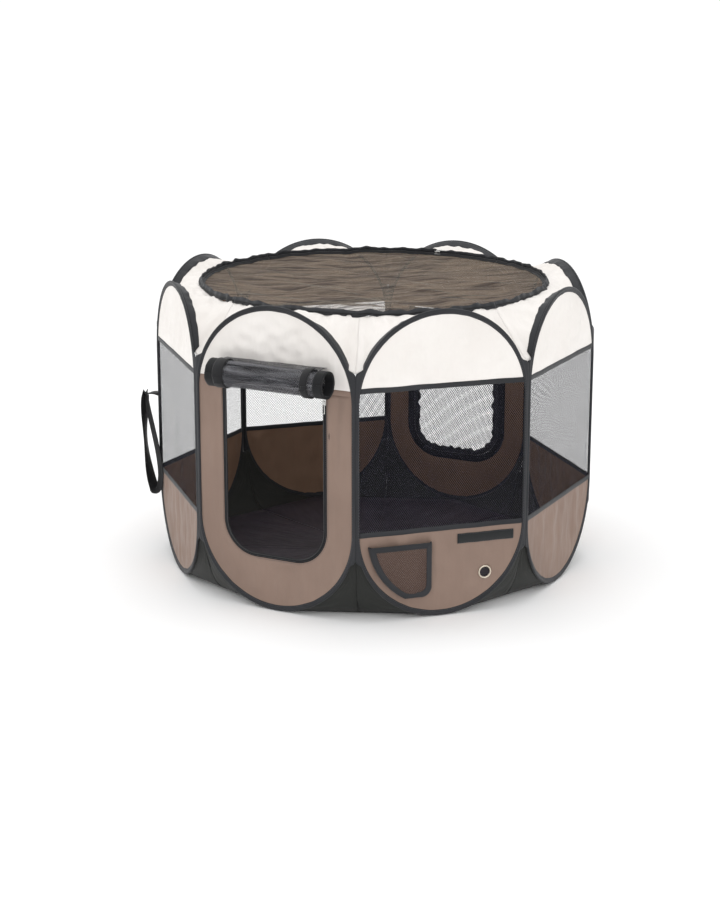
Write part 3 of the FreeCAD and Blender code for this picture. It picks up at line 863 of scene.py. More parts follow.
U_LENGTH = u_length(TAPE / 2)
for side in DOOR_SIDES:
    index = SIDES.index(side)
    matrix = panel_matrix(index)
    body = side + "_panel"
    around = surround_cloth(index)
    lower = side + "_lower_cloth"
    fit_out(side + "_surround_cloth", around, index, TAUPE, CLOTH, lower)
    tape = u_strip(0, TAPE + 1 * MM, 1 * MM, U_LENGTH)
    piece(side + "_zip_tape", [tape], body, [zip_cloth], matrix, hides=[side + "_door_zip"])

    def coil_path(u):
        spot, away = u_point(u, 1.7 * MM)
        return spot + Vector((0, -0.9 * MM, 0)), away, Vector((0, -1, 0))

    teeth = coil(coil_path, U_LENGTH, COIL_RADIUS, 1.6 * MM)
    piece(side + "_zip_coil", [teeth], body, [coil_nylon], matrix)
    rows = []
    for inset, face in ((5.5 * MM, 1.15 * MM), (10 * MM, 1.6 * MM)):
        def stitch_path(u, inset=inset, face=face):
            return u_point(u, inset)[0] + Vector((0, -face, 0)), Vector((0, -1, 0))

        rows.append(stitches(stitch_path, U_LENGTH, 4 * MM))
    piece(side + "_zip_stitching", rows, body, [thread], matrix)
print("doorways, with a U of length", round(U_LENGTH, 3))

# %% [markdown]
# ## The back door
#
# The back door is closed. Its leaf is mesh, edged all round with the other half of the zip and
# a folded binding, and it hangs from its top edge. The edging is a closed strip: the leaf's
# outline and the same outline moved in by the edging's width, with the level top added to the U.

# %% Back door leaf
LEAF_GAP = 0.1 * MM
LEAF_EDGE = 14 * MM
LEAF_SLACK = 2.4 * MM
LEAF_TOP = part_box("back_door_edging")[1].z
TOP_SHARE = 0.15


def leaf_point(u, inset):
    """A point of the leaf's closed outline: the U, and then along the top."""
    top = LEAF_TOP - inset
    if u <= 1 - TOP_SHARE:
        return u_point(u / (1 - TOP_SHARE), -LEAF_GAP - inset, top)[0]
    left = u_point(1, -LEAF_GAP - inset, top)[0]
    right = u_point(0, -LEAF_GAP - inset, top)[0]
    return left.lerp(right, (u - 1 + TOP_SHARE) / TOP_SHARE)


def leaf_edging():
    """The closed strip round the leaf, a millimetre thick, with a little waver."""
    parts = []
    for face in (-1, 1):
        def place(u, v, face=face):
            ragged = 1 + 0.5 * wrinkle(u * 1.3, 61, 0, 0.02) * v
            spot = leaf_point(u, 0).lerp(leaf_point(u, LEAF_EDGE), v * ragged)
            swell = 0.9 * MM * math.sin(math.pi * v) ** 0.3
            spot.y = face * swell + 0.5 * MM * wrinkle(spot.x, 11, spot.z, 0.03)
            return spot

        parts.append(grid(170, 5, place, lambda u, v: (u * 1.3, v * LEAF_EDGE)))
    for face in parts[0].faces:
        face.normal_flip()
    return parts


def leaf_net():
    """The leaf's mesh: rows from the top down, each as wide as the edging leaves it."""
    reach = -LEAF_GAP - LEAF_EDGE + 3 * UNDER
    corner = DOOR_CORNER + reach
    half = DOOR_HALF + reach
    low = DOOR_BOTTOM - reach
    top = LEAF_TOP - LEAF_EDGE + 3 * UNDER

    def flat(u, v):
        height = low + (top - low) * v
        drop = max(low + corner - height, 0)
        wide = half - corner + math.sqrt(max(corner**2 - drop**2, 0))
        return wide * (2 * u - 1), height

    def place(u, v):
        x, height = flat(u, v)
        slack = LEAF_SLACK * wrinkle(x * 0.6, 21, height, 0.06) * ease(half - abs(x), 30 * MM)
        return Vector((x, slack * ease(height - low, 30 * MM) * ease(top - height, 30 * MM), height))

    return grid(40, 44, place, flat)


place_back = panel_matrix(SIDES.index("back"))
piece("back_leaf_edging", leaf_edging(), "back_door", [binding_tape], place_back,
      hides=["back_door_edging"])
piece("back_leaf_net", [leaf_net()], "back_door", [window_net], place_back, KNIT,
      ["back_door_mesh"], "hung")
print("the back door's leaf is", round(LEAF_TOP - DOOR_BOTTOM, 3), "high")

# %% [markdown]
# ## The front door, rolled up and tied
#
# The front door's leaf is rolled up under the lintel and held by two ties. A roll of thin
# sheet is a spiral, so one grid is wound three times round and pushed about by noise drawn out
# along the roll, which gives it lengthwise streaks. Its black net is painted a lighter grey in
# lengthwise streaks too, a painted highlight on the creases. The leaf's edging shows as darker
# bands wound in at both ends, and as the strip along its lower front where the leaf's edge lies.

# %% Rolled door
tie_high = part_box("front_door_ties")[1]
roll_low, roll_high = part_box("front_door_roll")
ROLL_HALF = roll_high.x
ROLL_RADIUS = (roll_high.z - roll_low.z) / 2
ROLL_MIDDLE = Vector((0, APOTHEM + roll_low.y + ROLL_RADIUS, (roll_high.z + roll_low.z) / 2))
ROLL_TURNS = 3.3
ROLL_PITCH = 1.5 * MM
ROLL_START = math.radians(-80)
ROLL_BAND = 19 * MM


def roll_spot(turns, x, lift=0.0):
    """A point of the rolled leaf, so many turns in from its outer edge."""
    angle = ROLL_START - turns * 2 * math.pi
    radius = ROLL_RADIUS - 1.2 * MM - turns * ROLL_PITCH + lift
    fade = 1 - 0.5 * min(turns, 1)
    radius += 1.1 * MM * fade * wrinkle(math.cos(angle) * 2, math.sin(angle) * 2, x * 4 + turns, 0.9)
    radius += 0.5 * MM * fade * wrinkle(angle * 2, 0, x * 6, 0.6)
    return ROLL_MIDDLE + Vector((x, radius * math.sin(angle), radius * math.cos(angle)))


def rolled(x_low, x_high, turns_low, turns_high, columns, rows, lift=0.0):
    """A stretch of the roll as one sheet."""
    turned = turns_high - turns_low
    around = 2 * math.pi * ROLL_RADIUS

    def place(u, v):
        return roll_spot(turns_low + turned * v, x_low + (x_high - x_low) * u, lift)

    return grid(columns, rows, place, lambda u, v: ((x_high - x_low) * u, turned * around * v))


place_front = panel_matrix(SIDES.index("front"))
ROLL_LEFT = -ROLL_HALF + 14 * MM
ends = [
    rolled(ROLL_LEFT, ROLL_LEFT + ROLL_BAND, 0, ROLL_TURNS, 6, 150, 0.6 * MM),
    rolled(ROLL_HALF - ROLL_BAND, ROLL_HALF, 0, ROLL_TURNS, 6, 150, 0.6 * MM),
]
inner_end = ROLL_HALF - ROLL_BAND + UNDER
left_end = ROLL_LEFT + ROLL_BAND - UNDER
leaf_roll = [rolled(left_end, inner_end, 0, 2.2, 60, 110)]
piece("front_roll_net", leaf_roll, "front_door", [roll_net], place_front, 0,
      ["front_door_roll"], "gathered")
piece("front_roll_end_bands", ends, "front_door", [zip_cloth], place_front, 0.8 * MM)
strip = rolled(left_end, inner_end, 0.42, 0.5, 60, 6, 1.2 * MM)
piece("front_roll_edge_strip", [strip], "front_door", [zip_cloth], place_front, 0.9 * MM)


def roll_web(u, v):
    """The leaf's last stretch, from the top of the roll back to the lintel."""
    x = left_end + (inner_end - left_end) * u
    y = (ROLL_MIDDLE.y + 3 * MM) * (1 - v) - 1.2 * MM * v
    z = ROLL_MIDDLE.z + ROLL_RADIUS - (1 - v) * 1.5 * MM - 2.5 * MM * v
    return Vector((x, y, z + 0.7 * MM * wrinkle(x, 2, 0, 0.03)))


web = grid(60, 8, roll_web, lambda u, v: (u * 2 * ROLL_HALF, v * ROLL_RADIUS))
piece("front_roll_web", [web], "front_door", [roll_net], place_front, 0.5 * MM)
TIE_WIDTH = 22 * MM
TIE_MIDDLE = tie_high.x - TIE_WIDTH / 2


def tie(middle, width, tail):
    """A strap round the roll, its end hanging down in front."""
    radius = ROLL_RADIUS + 0.5 * MM
    length = 2 * math.pi * radius

    def path(u):
        angle = math.radians(20) - u * 2 * math.pi
        out = Vector((0, math.sin(angle), math.cos(angle)))
        sway = 1.5 * MM * wrinkle(u * 3, middle * 40, 0, 0.7)
        return ROLL_MIDDLE + out * radius + Vector((middle + sway, 0, 0)), Vector((1, 0, 0)), out

    half = width / 2
    shoulder = half * 0.85
    edge = [(-half, 0.2 * MM), (-shoulder, 0.9 * MM), (0, 0.7 * MM)]
    edge += [(shoulder, 0.9 * MM), (half, 0.2 * MM)]
    ring = edge + [(a, b - 0.9 * MM) for a, b in reversed(edge)]
    parts = [sweep(path, 48, lambda u: ring, length, closed=True)]

    def tail_path(u):
        hang = ROLL_MIDDLE + Vector((middle, -radius - 1 * MM, 0))
        bent = 3 * MM * math.sin(3 * u + middle * 9)
        return hang + Vector((bent, -1.5 * MM * u, -tail * u)), Vector((1, 0, 0)), Vector((0, -1, 0))

    slim = [(a * 0.8, b * 0.8) for a, b in ring]
    parts.append(sweep(tail_path, 10, lambda u: slim, tail))
    return parts


ties = tie(4 * MM - TIE_MIDDLE, TIE_WIDTH, 14 * MM) + tie(TIE_MIDDLE, 0.7 * TIE_WIDTH, 9 * MM)
piece("front_door_ties_wound", ties, "front_door", [webbing], place_front,
      hides=["front_door_ties"])
print("the roll's radius is", round(ROLL_RADIUS, 4), "and its height", round(ROLL_MIDDLE.z, 3))

# %% [markdown]
# ## Zip sliders
#
# A slider is a small zinc casting: two plates joined at the front by a wedge, a lug on the
# outer plate and a long pull through the lug. Each plate starts as a bevelled block, and the
# pull is a bevelled bar with a window cut through it by insetting and bridging its two faces.

# %% Sliders
def round_edges(made, offset, segments):
    """Every edge of a casting, rounded as it comes from its mould."""
    edges = list(made.edges)
    bmesh.ops.bevel(
        made, geom=edges, offset=offset, segments=segments, profile=0.5, affect="EDGES", material=-1
    )


def block(centre, size, bevel):
    """A block with rounded edges."""
    made = empty_piece()
    matrix = Matrix.Translation(centre) @ Matrix.Diagonal((*size, 1))
    bmesh.ops.create_cube(made, size=1, matrix=matrix)
    round_edges(made, bevel, 3)
    return made


def pull(top, width, length, thickness):
    """A pull tab with a long window, hanging down from its top."""
    made = empty_piece()
    centre = top - Vector((0, 0, length / 2))
    matrix = Matrix.Translation(centre) @ Matrix.Diagonal((width, thickness, length, 1))
    bmesh.ops.create_cube(made, size=1, matrix=matrix)
    faces = [f for f in made.faces if abs(f.normal.y) > 0.9]
    bmesh.ops.inset_individual(made, faces=faces, thickness=width * 0.27)
    rims = [e for f in faces for e in f.edges]
    bmesh.ops.delete(made, geom=faces, context="FACES_ONLY")
    bmesh.ops.bridge_loops(made, edges=rims)
    round_edges(made, 0.3 * MM, 2)
    return made


def slider_parts(place):
    """The casting and its pull, with z along the tape and y outside; place moves them."""
    plate = (8.6 * MM, 1.1 * MM, 13 * MM)
    parts = []
    for face in (-1, 1):
        parts.append(block(Vector((0, face * 2.8 * MM, 0)), plate, 0.45 * MM))
    parts.append(block(Vector((0, 0, 4.6 * MM)), (2.2 * MM, 5.4 * MM, 3 * MM), 0.5 * MM))
    for hand in (-1, 1):
        rail = Vector((hand * 3.9 * MM, -2.2 * MM, 0))
        parts.append(block(rail, (0.8 * MM, 1.2 * MM, 12 * MM), 0.3 * MM))
    parts.append(block(Vector((0, -4.2 * MM, 0)), (1.4 * MM, 2.2 * MM, 8 * MM), 0.6 * MM))
    parts.append(pull(Vector((0, -5.4 * MM, 1.5 * MM)), 6 * MM, 24 * MM, 1.3 * MM))
    for part in parts:
        bmesh.ops.transform(part, matrix=place, verts=part.verts)
    return parts


SLIDER_HALF = 7 * MM
SLIDER_ASIDE = 3.6 * MM
for side in DOOR_SIDES:
    index = SIDES.index(side)
    node = side + "_door_slider"
    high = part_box(node)[1]
    height = high.z - SLIDER_HALF
    middle = DOOR_HALF + SLIDER_ASIDE
    casting = slider_parts(panel_matrix(index) @ Matrix.Translation((middle, 0, height)))
    piece(side + "_zip_slider", casting, node, [plated_zinc], hides=[node])
print("door sliders are at height", round(height, 3))

# %% [markdown]
# ## Pocket, eyelet and hook-and-loop strip
#
# The front right panel has a small mesh pocket, a metal eyelet for a drinking bottle's spout
# and a strip of hook-and-loop tape to hold the bottle. The pocket stands off the cloth: its
# binding starts at the panel, comes forward as a low wall and turns in round the mesh, except
# along the top, which is open. The eyelet is a profile spun round its axis, as it is pressed.

# %% Pocket
pocket_low, pocket_high = panel_box("pocket_binding", pocket_panel)
POCKET_RIGHT = pocket_high.x
POCKET_TOP = pocket_high.z
POCKET_BOTTOM = pocket_low.z
POCKET_OUT = -pocket_low.y
POCKET_HOOP_GAP = 19 * MM
POCKET_CORNER = 20 * MM
POCKET_EDGE = 11 * MM


def pocket_point(u, inset):
    """A point of the pocket's outline: down its right side, along the foot, up the curve, back."""
    right = POCKET_RIGHT - inset
    top = POCKET_TOP - inset
    bottom = POCKET_BOTTOM + inset
    corner = POCKET_CORNER - inset / 2
    radius = HOOP_HALF - POCKET_HOOP_GAP - inset

    def curve(height):
        return -math.sqrt(radius**2 - (FOOT - height) ** 2)

    if u < 0.25:
        return Vector((right, 0, top + (bottom + corner - top) * u / 0.25))
    if u < 0.35:
        angle = (u - 0.25) / 0.1 * math.pi / 2
        across = right - corner + corner * math.cos(angle)
        return Vector((across, 0, bottom + corner * (1 - math.sin(angle))))
    if u < 0.5:
        return Vector((right - corner + (curve(bottom) - right + corner) * (u - 0.35) / 0.15, 0, bottom))
    if u < 0.8:
        height = bottom + (top - bottom) * (u - 0.5) / 0.3
        return Vector((curve(height), 0, height))
    return Vector((curve(top) + (right - curve(top)) * (u - 0.8) / 0.2, 0, top))


def pocket_rim(u, v):
    """The binding: a wall off the panel, then a band across the front, or a hem along the top."""
    wall = 0 if 0.805 < u < 0.995 else 1
    front = POCKET_OUT - 0.6 * MM
    if v < 0.4:
        out = front - (front - 0.6 * MM) * (1 - v / 0.4) * wall
        spot = pocket_point(u, 1.2 * MM * v / 0.4)
    else:
        out = front + 0.5 * MM * math.sin(math.pi * (v - 0.4) / 0.6)
        spot = pocket_point(u, 1.2 * MM + (POCKET_EDGE - 1.2 * MM) * (v - 0.4) / 0.6)
    waver = 0.5 * MM * wrinkle(spot.x, 31, spot.z, 0.02)
    return Vector((spot.x, -out + waver * min(v / 0.4, 1), spot.z))


def pocket_front(u, v):
    """The mesh front, full in the middle."""
    reach = POCKET_EDGE - UNDER
    low = POCKET_BOTTOM + reach
    top = POCKET_TOP - reach
    height = low + (top - low) * v
    radius = HOOP_HALF - POCKET_HOOP_GAP - reach
    left = -math.sqrt(radius**2 - (FOOT - height) ** 2)
    corner = POCKET_CORNER - reach / 2
    drop = max(low + corner - height, 0)
    right = POCKET_RIGHT - reach - corner + math.sqrt(max(corner**2 - drop**2, 0))
    full = 1.6 * MM * math.sin(math.pi * u) * math.sin(math.pi * min(0.15 + 0.85 * v, 1))
    loose = 1.2 * MM * wrinkle(u * 0.09, 41, v * 0.05, 0.03) * math.sin(math.pi * u)
    return Vector((left + (right - left) * u, -POCKET_OUT + 0.4 * MM - full - loose, height))


place_pocket = panel_matrix(pocket_panel)
rim = grid(160, 10, pocket_rim, lambda u, v: (u * 0.34, v * 20 * MM))
piece("pocket_rim", [rim], "front_right_panel", [binding_tape], place_pocket, 0.8 * MM,
      ["pocket_binding"])
pocket_net = net_material("brown_pocket_mesh", "#5A4A44", 3.0 * MM, 0.35, 0.3)
net = grid(28, 28, pocket_front, lambda u, v: (pocket_front(u, v).x, pocket_front(u, v).z))
piece("pocket_net", [net], "front_right_panel", [pocket_net], place_pocket, 0,
      ["pocket_mesh"], "stretched")
print("pocket stands off", round(POCKET_OUT, 4))

# %% [markdown]
# ## Eyelet and strip
#
# The eyelet is pressed from thin metal: a rolled flange shows outside, a barrel goes through the
# cloth and a flat flange grips it inside. It could be a torus and two rings joined together, but
# one profile spun round the bore has no seams. The hook-and-loop strip is a flat sweep whose
# middle stands up a little, where the hooks are, between two sewn borders.

# %% Eyelet and strip
def spun_eyelet():
    """A rolled flange outside, a barrel, and a flat flange inside, spun round the bore."""
    made = empty_piece()
    roll = (EYELET_FLANGE - EYELET_BORE) / 2
    middle = EYELET_BORE + roll
    spots = []
    for step in range(9):
        angle = math.pi * step / 8
        spots.append((middle + roll * math.cos(angle), -0.5 * MM - 1.3 * MM * math.sin(angle)))
    spots += [(EYELET_BORE, 0.2 * MM), (EYELET_BORE + 0.3 * MM, 1.2 * MM), (EYELET_BORE + 1 * MM, 1.5 * MM)]
    spots += [(EYELET_FLANGE - 0.4 * MM, 1.3 * MM), (EYELET_FLANGE, 0.9 * MM), (EYELET_FLANGE, 0.5 * MM)]
    spots += [(EYELET_BORE + 1.2 * MM, 0.5 * MM), (EYELET_BORE + 1.2 * MM, -0.5 * MM)]
    verts = [made.verts.new((r, y, 0)) for r, y in spots]
    edges = [made.edges.new(pair) for pair in zip(verts, verts[1:] + verts[:1])]
    profile = verts + edges
    bore = {"cent": (0, 0, 0), "axis": (0, 1, 0)}
    bmesh.ops.spin(made, geom=profile, angle=2 * math.pi, steps=64, use_merge=True, **bore)
    bmesh.ops.recalc_face_normals(made, faces=made.faces)
    bmesh.ops.translate(made, verts=made.verts, vec=(EYELET_X, 0, EYELET_Z))
    return made


piece("eyelet_ring", [spun_eyelet()], "front_right_panel", [nickel_brass], place_pocket,
      hides=["bottle_eyelet"])


def strip_path(u):
    """Along the strip, with the little waves that sewing leaves in it."""
    x = STRIP_LEFT + (STRIP_RIGHT - STRIP_LEFT) * u
    wave = 0.6 * MM * wrinkle(x, 51, 0, 0.018)
    return Vector((x, -0.6 * MM, STRIP_MIDDLE + wave)), Vector((0, 0, 1)), Vector((0, -1, 0))


half = STRIP_HALF
edge = [(-half, 0.2 * MM), (-half + 0.6 * MM, 1.1 * MM)]
edge += [(-half + 2.2 * MM, 1 * MM), (-half + 3 * MM, 1.9 * MM)]
edge += [(-a, b) for a, b in reversed(edge)]
strip_ring = edge + [(half, -0.1 * MM), (-half, -0.1 * MM)]
strip_length = STRIP_RIGHT - STRIP_LEFT
strip = sweep(strip_path, 90, lambda u: strip_ring, strip_length)
piece("bottle_strip_tape", [strip], "front_right_panel", [hook_and_loop], place_pocket,
      hides=["bottle_strip"])
rows = []
for height in (-half + 1.4 * MM, half - 1.4 * MM):
    def strip_stitch(u, height=height):
        return strip_path(u)[0] + Vector((0, -1.1 * MM, height)), Vector((0, -1, 0))

    rows.append(stitches(strip_stitch, strip_length, 3.5 * MM, 0.02, 0.98))
piece("bottle_strip_stitching", rows, "front_right_panel", [thread], place_pocket)
print("eyelet at", round(EYELET_X, 3), round(EYELET_Z, 3), "strip length", round(strip_length, 3))

# %% [markdown]
# ## The soft roof and floor, in eight sectors
#
# The skirt, the roof zip, the roof mesh, the floor and the gussets join all the panels, so no
# one body can carry them when the pen folds. Each is made as eight sectors that meet edge to
# edge, and a sector rides on its own panel. When the real pen folds, this cloth crumples into
# the gap between two panels.


def sector(name, index, parts, finishes, wall, hides=(), held="stretched"):
    """A piece drawn on the front side of the pen, turned to its own side and attached to that side's panel.
    """
    turned = Matrix.Rotation(TURN * index, 4, "Z")
    side = SIDES[index]
    node = hides if side == "front" else ()
    made = piece(name, parts, side + "_panel", finishes, turned, wall, node, held)
    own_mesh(made)
    return made


def around_pen(spot, index):
    """Where a spot drawn on the front side comes to lie, for folds that cross the sectors."""
    return Matrix.Rotation(TURN * index, 3, "Z") @ spot


# %% [markdown]
# ## The skirt
#
# The cream skirt slopes from each arch in to the roof zip, and fills the V between two arches.
# It is pulled tight to the arches and gathered a little where it meets the zip, so its folds
# run from the ring outwards and die away.

# %% Skirt
SKIRT_RING = RING_OUTER - 2 * MM
SKIRT_IN = 2.6 * MM
SKIRT_FLAP = 16 * MM
FLAP_START = 0.045
FLAP_SPAN = 0.91
FLAP_LONG = 0.4


def skirt_rail(u):
    """The skirt's outer edge: the bottom of one V, up over the arch and down to the next V."""
    wide = CORNER + 0.3 * MM
    x = wide * (2 * u - 1)
    reach = HOOP_HALF + 0.8 * MM
    lift = math.sqrt(max(reach**2 - x * x, 0))
    vee = half_width(VEE_TOP)
    beyond = ease(abs(x) - vee, CORNER - vee)
    height = max(ARCH + lift, VEE_TOP + 3 * MM * (1 - beyond))
    depth = SKIRT_IN + 1.5 * MM * beyond
    return Vector((x * (APOTHEM - depth) / APOTHEM if beyond else x, -APOTHEM + depth, height))


def skirt_inner(u):
    """The skirt's inner edge, on the zip ring."""
    angle = TURN * (u - 0.5)
    return Vector((SKIRT_RING * math.sin(angle), -SKIRT_RING * math.cos(angle), RING_HEIGHT))


def skirt_place(u, v, index):
    """Between the rail and the zip ring, with gathers that grow towards the ring."""
    spot = skirt_rail(u).lerp(skirt_inner(u), v)
    held = math.sin(math.pi * min(v * 0.92 + 0.04, 1))
    spot.z -= 5.0 * MM * held
    world = around_pen(spot, index)
    along = math.atan2(world.y, world.x)
    gather = wrinkle(math.cos(along) * 3, math.sin(along) * 3, v * 0.25, 0.17)
    gather += 0.5 * wrinkle(math.cos(along) * 3, math.sin(along) * 3, v * 0.4 + 5, 0.08)
    spot.z += 7.5 * MM * gather * ease(v, 0.45) * (1 - 0.5 * ease(v - 0.8, 0.2))
    return spot


def flat_skirt(u, v):
    """The skirt's flat cut: as long as its slope at that place."""
    rail = skirt_rail(u)
    ring = skirt_inner(u)
    return rail.x + (ring.x - rail.x) * v, (ring - rail).length * (v - 1)


def skirt_edge(u, v, index):
    """The binding's upper flap, which folds over the first stretch of the skirt."""
    length = flat_skirt(u, 0)[1]
    spot = skirt_place(u, v * SKIRT_FLAP / -length, index)
    waver = 1 + 0.12 * wrinkle(spot.x, index, spot.z, 0.016) * v
    spot = skirt_place(u, v * waver * SKIRT_FLAP / -length, index)
    return spot + Vector((0, -0.2 * MM, 0.7 * MM + 0.5 * MM * math.sin(math.pi * v)))


for index, side in enumerate(SIDES):
    def flap_place(u, v, index=index):
        return skirt_edge(FLAP_START + FLAP_SPAN * u, v, index)

    flap = grid(110, 5, flap_place, lambda u, v: (u * FLAP_LONG, v * SKIRT_FLAP))
    sector(side + "_skirt_flap", index, [flap], [binding_tape], 0.7 * MM, held=None)
    skirt = grid(90, 22, lambda u, v: skirt_place(u, v, index), flat_skirt)
    sector(side + "_skirt", index, [skirt], CREAM, CLOTH, ["cover_skirt"])
print("skirt sectors run from", round(VEE_TOP, 3), "to", round(RING_HEIGHT, 3))

# %% [markdown]
# ## The roof: a ruffled zip and a mesh disc
#
# The roof is a disc of mesh, held by a zip that runs nearly the whole way round. The zip is
# sewn to gathered cloth, so its tapes ruffle up and down. The disc itself is slack: it sags a
# little in the middle and is crossed by a few long creases where it was folded.

# %% Roof zip and roof mesh
RING_MIDDLE = (RING_OUTER + RING_INNER) / 2
RING_LEAN = math.radians(24)


def ruffle(along):
    """The zip's rise and fall round the ring."""
    x, y = math.cos(along) * RING_MIDDLE, math.sin(along) * RING_MIDDLE
    return 3.0 * MM * wrinkle(x, y, 0, 0.05) + 1.2 * MM * wrinkle(x, y, 7, 0.018)


def ring_path(radius, lift, index):
    """A path round one sector of the ring, whose band leans down towards the roof."""
    def path(u):
        angle = TURN * (u - 0.5)
        level = Vector((math.sin(angle), -math.cos(angle), 0))
        world = around_pen(level, index)
        rise = ruffle(math.atan2(world.y, world.x))
        out = level * math.cos(RING_LEAN) + Vector((0, 0, math.sin(RING_LEAN)))
        over = Vector((0, 0, math.cos(RING_LEAN))) - level * math.sin(RING_LEAN)
        middle = level * RING_MIDDLE + Vector((0, 0, RING_HEIGHT + rise))
        return middle + out * (radius - RING_MIDDLE) + over * lift, out, over

    return path


def roof_crease(x, y):
    """Creases of the slack roof, longer one way than the other."""
    drawn = wrinkle(x * 0.3 + y * 0.1, y, 0, 0.05) + 0.6 * wrinkle(x * 0.4 - y * 0.2, y, 3, 0.022)
    return drawn * ease(RING_INNER - math.hypot(x, y), 60 * MM)


def roof_place(u, v, index):
    """The slack disc, from its middle out to the zip, whose ruffle its rim follows."""
    angle = TURN * (u - 0.5)
    radius = (RING_INNER + UNDER) * v
    spot = Vector((radius * math.sin(angle), -radius * math.cos(angle), 0))
    world = around_pen(spot, index)
    edge = RING_HEIGHT - (RING_MIDDLE - RING_INNER) * math.sin(RING_LEAN)
    spot.z = edge - ROOF_DIP * (1 - v * v) + 8 * MM * roof_crease(world.x, world.y)
    spot.z += ruffle(math.atan2(world.y, world.x)) * ease(v - 0.7, 0.3)
    return spot


ROOF_GRAIN = math.radians(-25)


def roof_flat(u, v, index):
    """The disc is one cut, so its UVs run on from sector to sector, along the cloth's grain."""
    angle = TURN * (u - 0.5 + index) + ROOF_GRAIN
    radius = (RING_INNER + UNDER) * v
    return radius * math.sin(angle), -radius * math.cos(angle)


ring_wide = (RING_OUTER - RING_INNER) / 2
band = [(-ring_wide, 0.5 * MM), (-ring_wide * 0.85, 0.9 * MM), (-2 * MM, 0.9 * MM), (2 * MM, 0.9 * MM)]
band += [(ring_wide * 0.85, 0.9 * MM), (ring_wide, 0.5 * MM)]
band = both_faces(band)
ring_length = TURN * RING_MIDDLE
collar = [(-0.6 * MM, -6 * MM), (-0.6 * MM, 7 * MM), (0.6 * MM, 7 * MM), (0.6 * MM, -6 * MM)]


def collar_path(index):
    """The gathered edge of the zip's tape, which stands up round the outside and wavers."""
    def path(u):
        centre, out, up = ring_path(RING_OUTER - 2.5 * MM, 1 * MM, index)(u)
        world = around_pen(centre, index)
        sway = 3.2 * MM * wrinkle(world.x, world.y, 13, 0.014)
        lift = 3.5 * MM * wrinkle(world.x, world.y, 17, 0.02)
        return centre + out * sway + up * lift, out, up

    return path


for index, side in enumerate(SIDES):
    tape = sweep(ring_path(RING_MIDDLE, 0, index), 60, lambda u: band, ring_length)
    edge = sweep(collar_path(index), 110, lambda u: collar, ring_length)
    sector(side + "_roof_ruffle", index, [edge], [binding_tape], 0, held=None)
    zip_band = sector(side + "_roof_zip", index, [tape], [zip_cloth], 0, ["top_zip"], held=None)
    teeth = coil(ring_path(RING_MIDDLE, 1.2 * MM, index), ring_length, COIL_RADIUS, 1.8 * MM)
    sector(side + "_roof_coil", index, [teeth], [coil_nylon], 0, held=None)
    disc = grid(24, 60, lambda u, v: roof_place(u, v, index), lambda u, v: roof_flat(u, v, index))
    sector(side + "_roof_net", index, [disc], [roof_net], 0, ["top_mesh"], "stretched")
print("roof zip radius", round(RING_MIDDLE, 3))
slider_low, slider_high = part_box("top_zip_slider")
slider_spot = (slider_low + slider_high) / 2
slider_angle = math.atan2(slider_spot.y, slider_spot.x)
on_ring = Matrix.Translation((RING_MIDDLE, 0, RING_HEIGHT + 2.6 * MM))
turned = Matrix.Rotation(slider_angle, 4, "Z") @ on_ring
laid = turned @ Matrix.Rotation(-math.pi / 2, 4, "X")
roof_slider = piece("roof_slider", slider_parts(laid), "top_zip_slider", [plated_zinc],
                    hides=["top_zip_slider"])
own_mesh(roof_slider)

# %% [markdown]
# ## Floor and gussets
#
# The floor is one octagon of tough nylon whose corners are at the feet of the hoops. Small
# dark webs, the gussets, close the gap between the feet of two hoops. The floor lies on the
# ground, so its wrinkles are low, and only rise where the walls pull on it.

# %% Floor and gussets
FLOOR_MIDDLE = 0.6 * MM


def floor_place(u, v, index):
    """The floor, from the middle of the pen out to the foot of the panel."""
    angle = TURN * (u - 0.5)
    reach = APOTHEM * math.cos(TURN / 2) / math.cos(TURN / 2 - abs(angle))
    spot = Vector((reach * v * math.sin(angle), -reach * v * math.cos(angle), 0))
    world = around_pen(spot, index)
    low = 0.5 + 0.5 * wrinkle(world.x, world.y, 0, 0.07)
    spot.z = FLOOR_MIDDLE + 3.2 * MM * low * ease(1 - v, 0.05) + 1.2 * MM * (v > 0.999)
    return spot


def floor_flat(u, v):
    """The floor's flat cut, which is its own plan."""
    spot = floor_place(u, v, 0)
    return spot.x, spot.y


def gusset_rail(share):
    """A point of the hoop's foot on the gusset's edge, from its top down to the floor."""
    steepest = math.asin((FOOT - GUSSET_TOP) / HOOP_HALF)
    swing = steepest + (math.radians(88) - steepest) * share
    reach = HOOP_HALF - 1 * MM
    low = FOOT - reach * math.sin(swing) - 4.4 * MM * ease(share - 0.85, 0.15)
    return Vector((reach * math.cos(swing) * (1 - ease(share - 0.9, 0.1)), -APOTHEM + SKIRT_IN, low))


def gusset_place(u, v, hand, index):
    """From the hoop's foot to halfway across to the next one."""
    rail = gusset_rail(v)
    corner = Vector((math.sin(TURN / 2), -math.cos(TURN / 2), 0))
    halfway = corner * rail.dot(corner)
    halfway.z = rail.z
    spot = rail.lerp(halfway, u)
    spot += corner * 2.0 * MM * wrinkle(v * 0.12, u * 0.04, index, 0.03) * math.sin(math.pi * v) * u
    spot -= corner * 5 * MM * u * ease(v, 0.2) * (1 - v)
    spot.x *= hand
    return spot


def gusset_flat(u, v):
    """The gusset's flat cut: the hoop's foot line, narrowed towards the next hoop."""
    rail = gusset_rail(v)
    return rail.x * (1 - 0.9 * u), rail.z


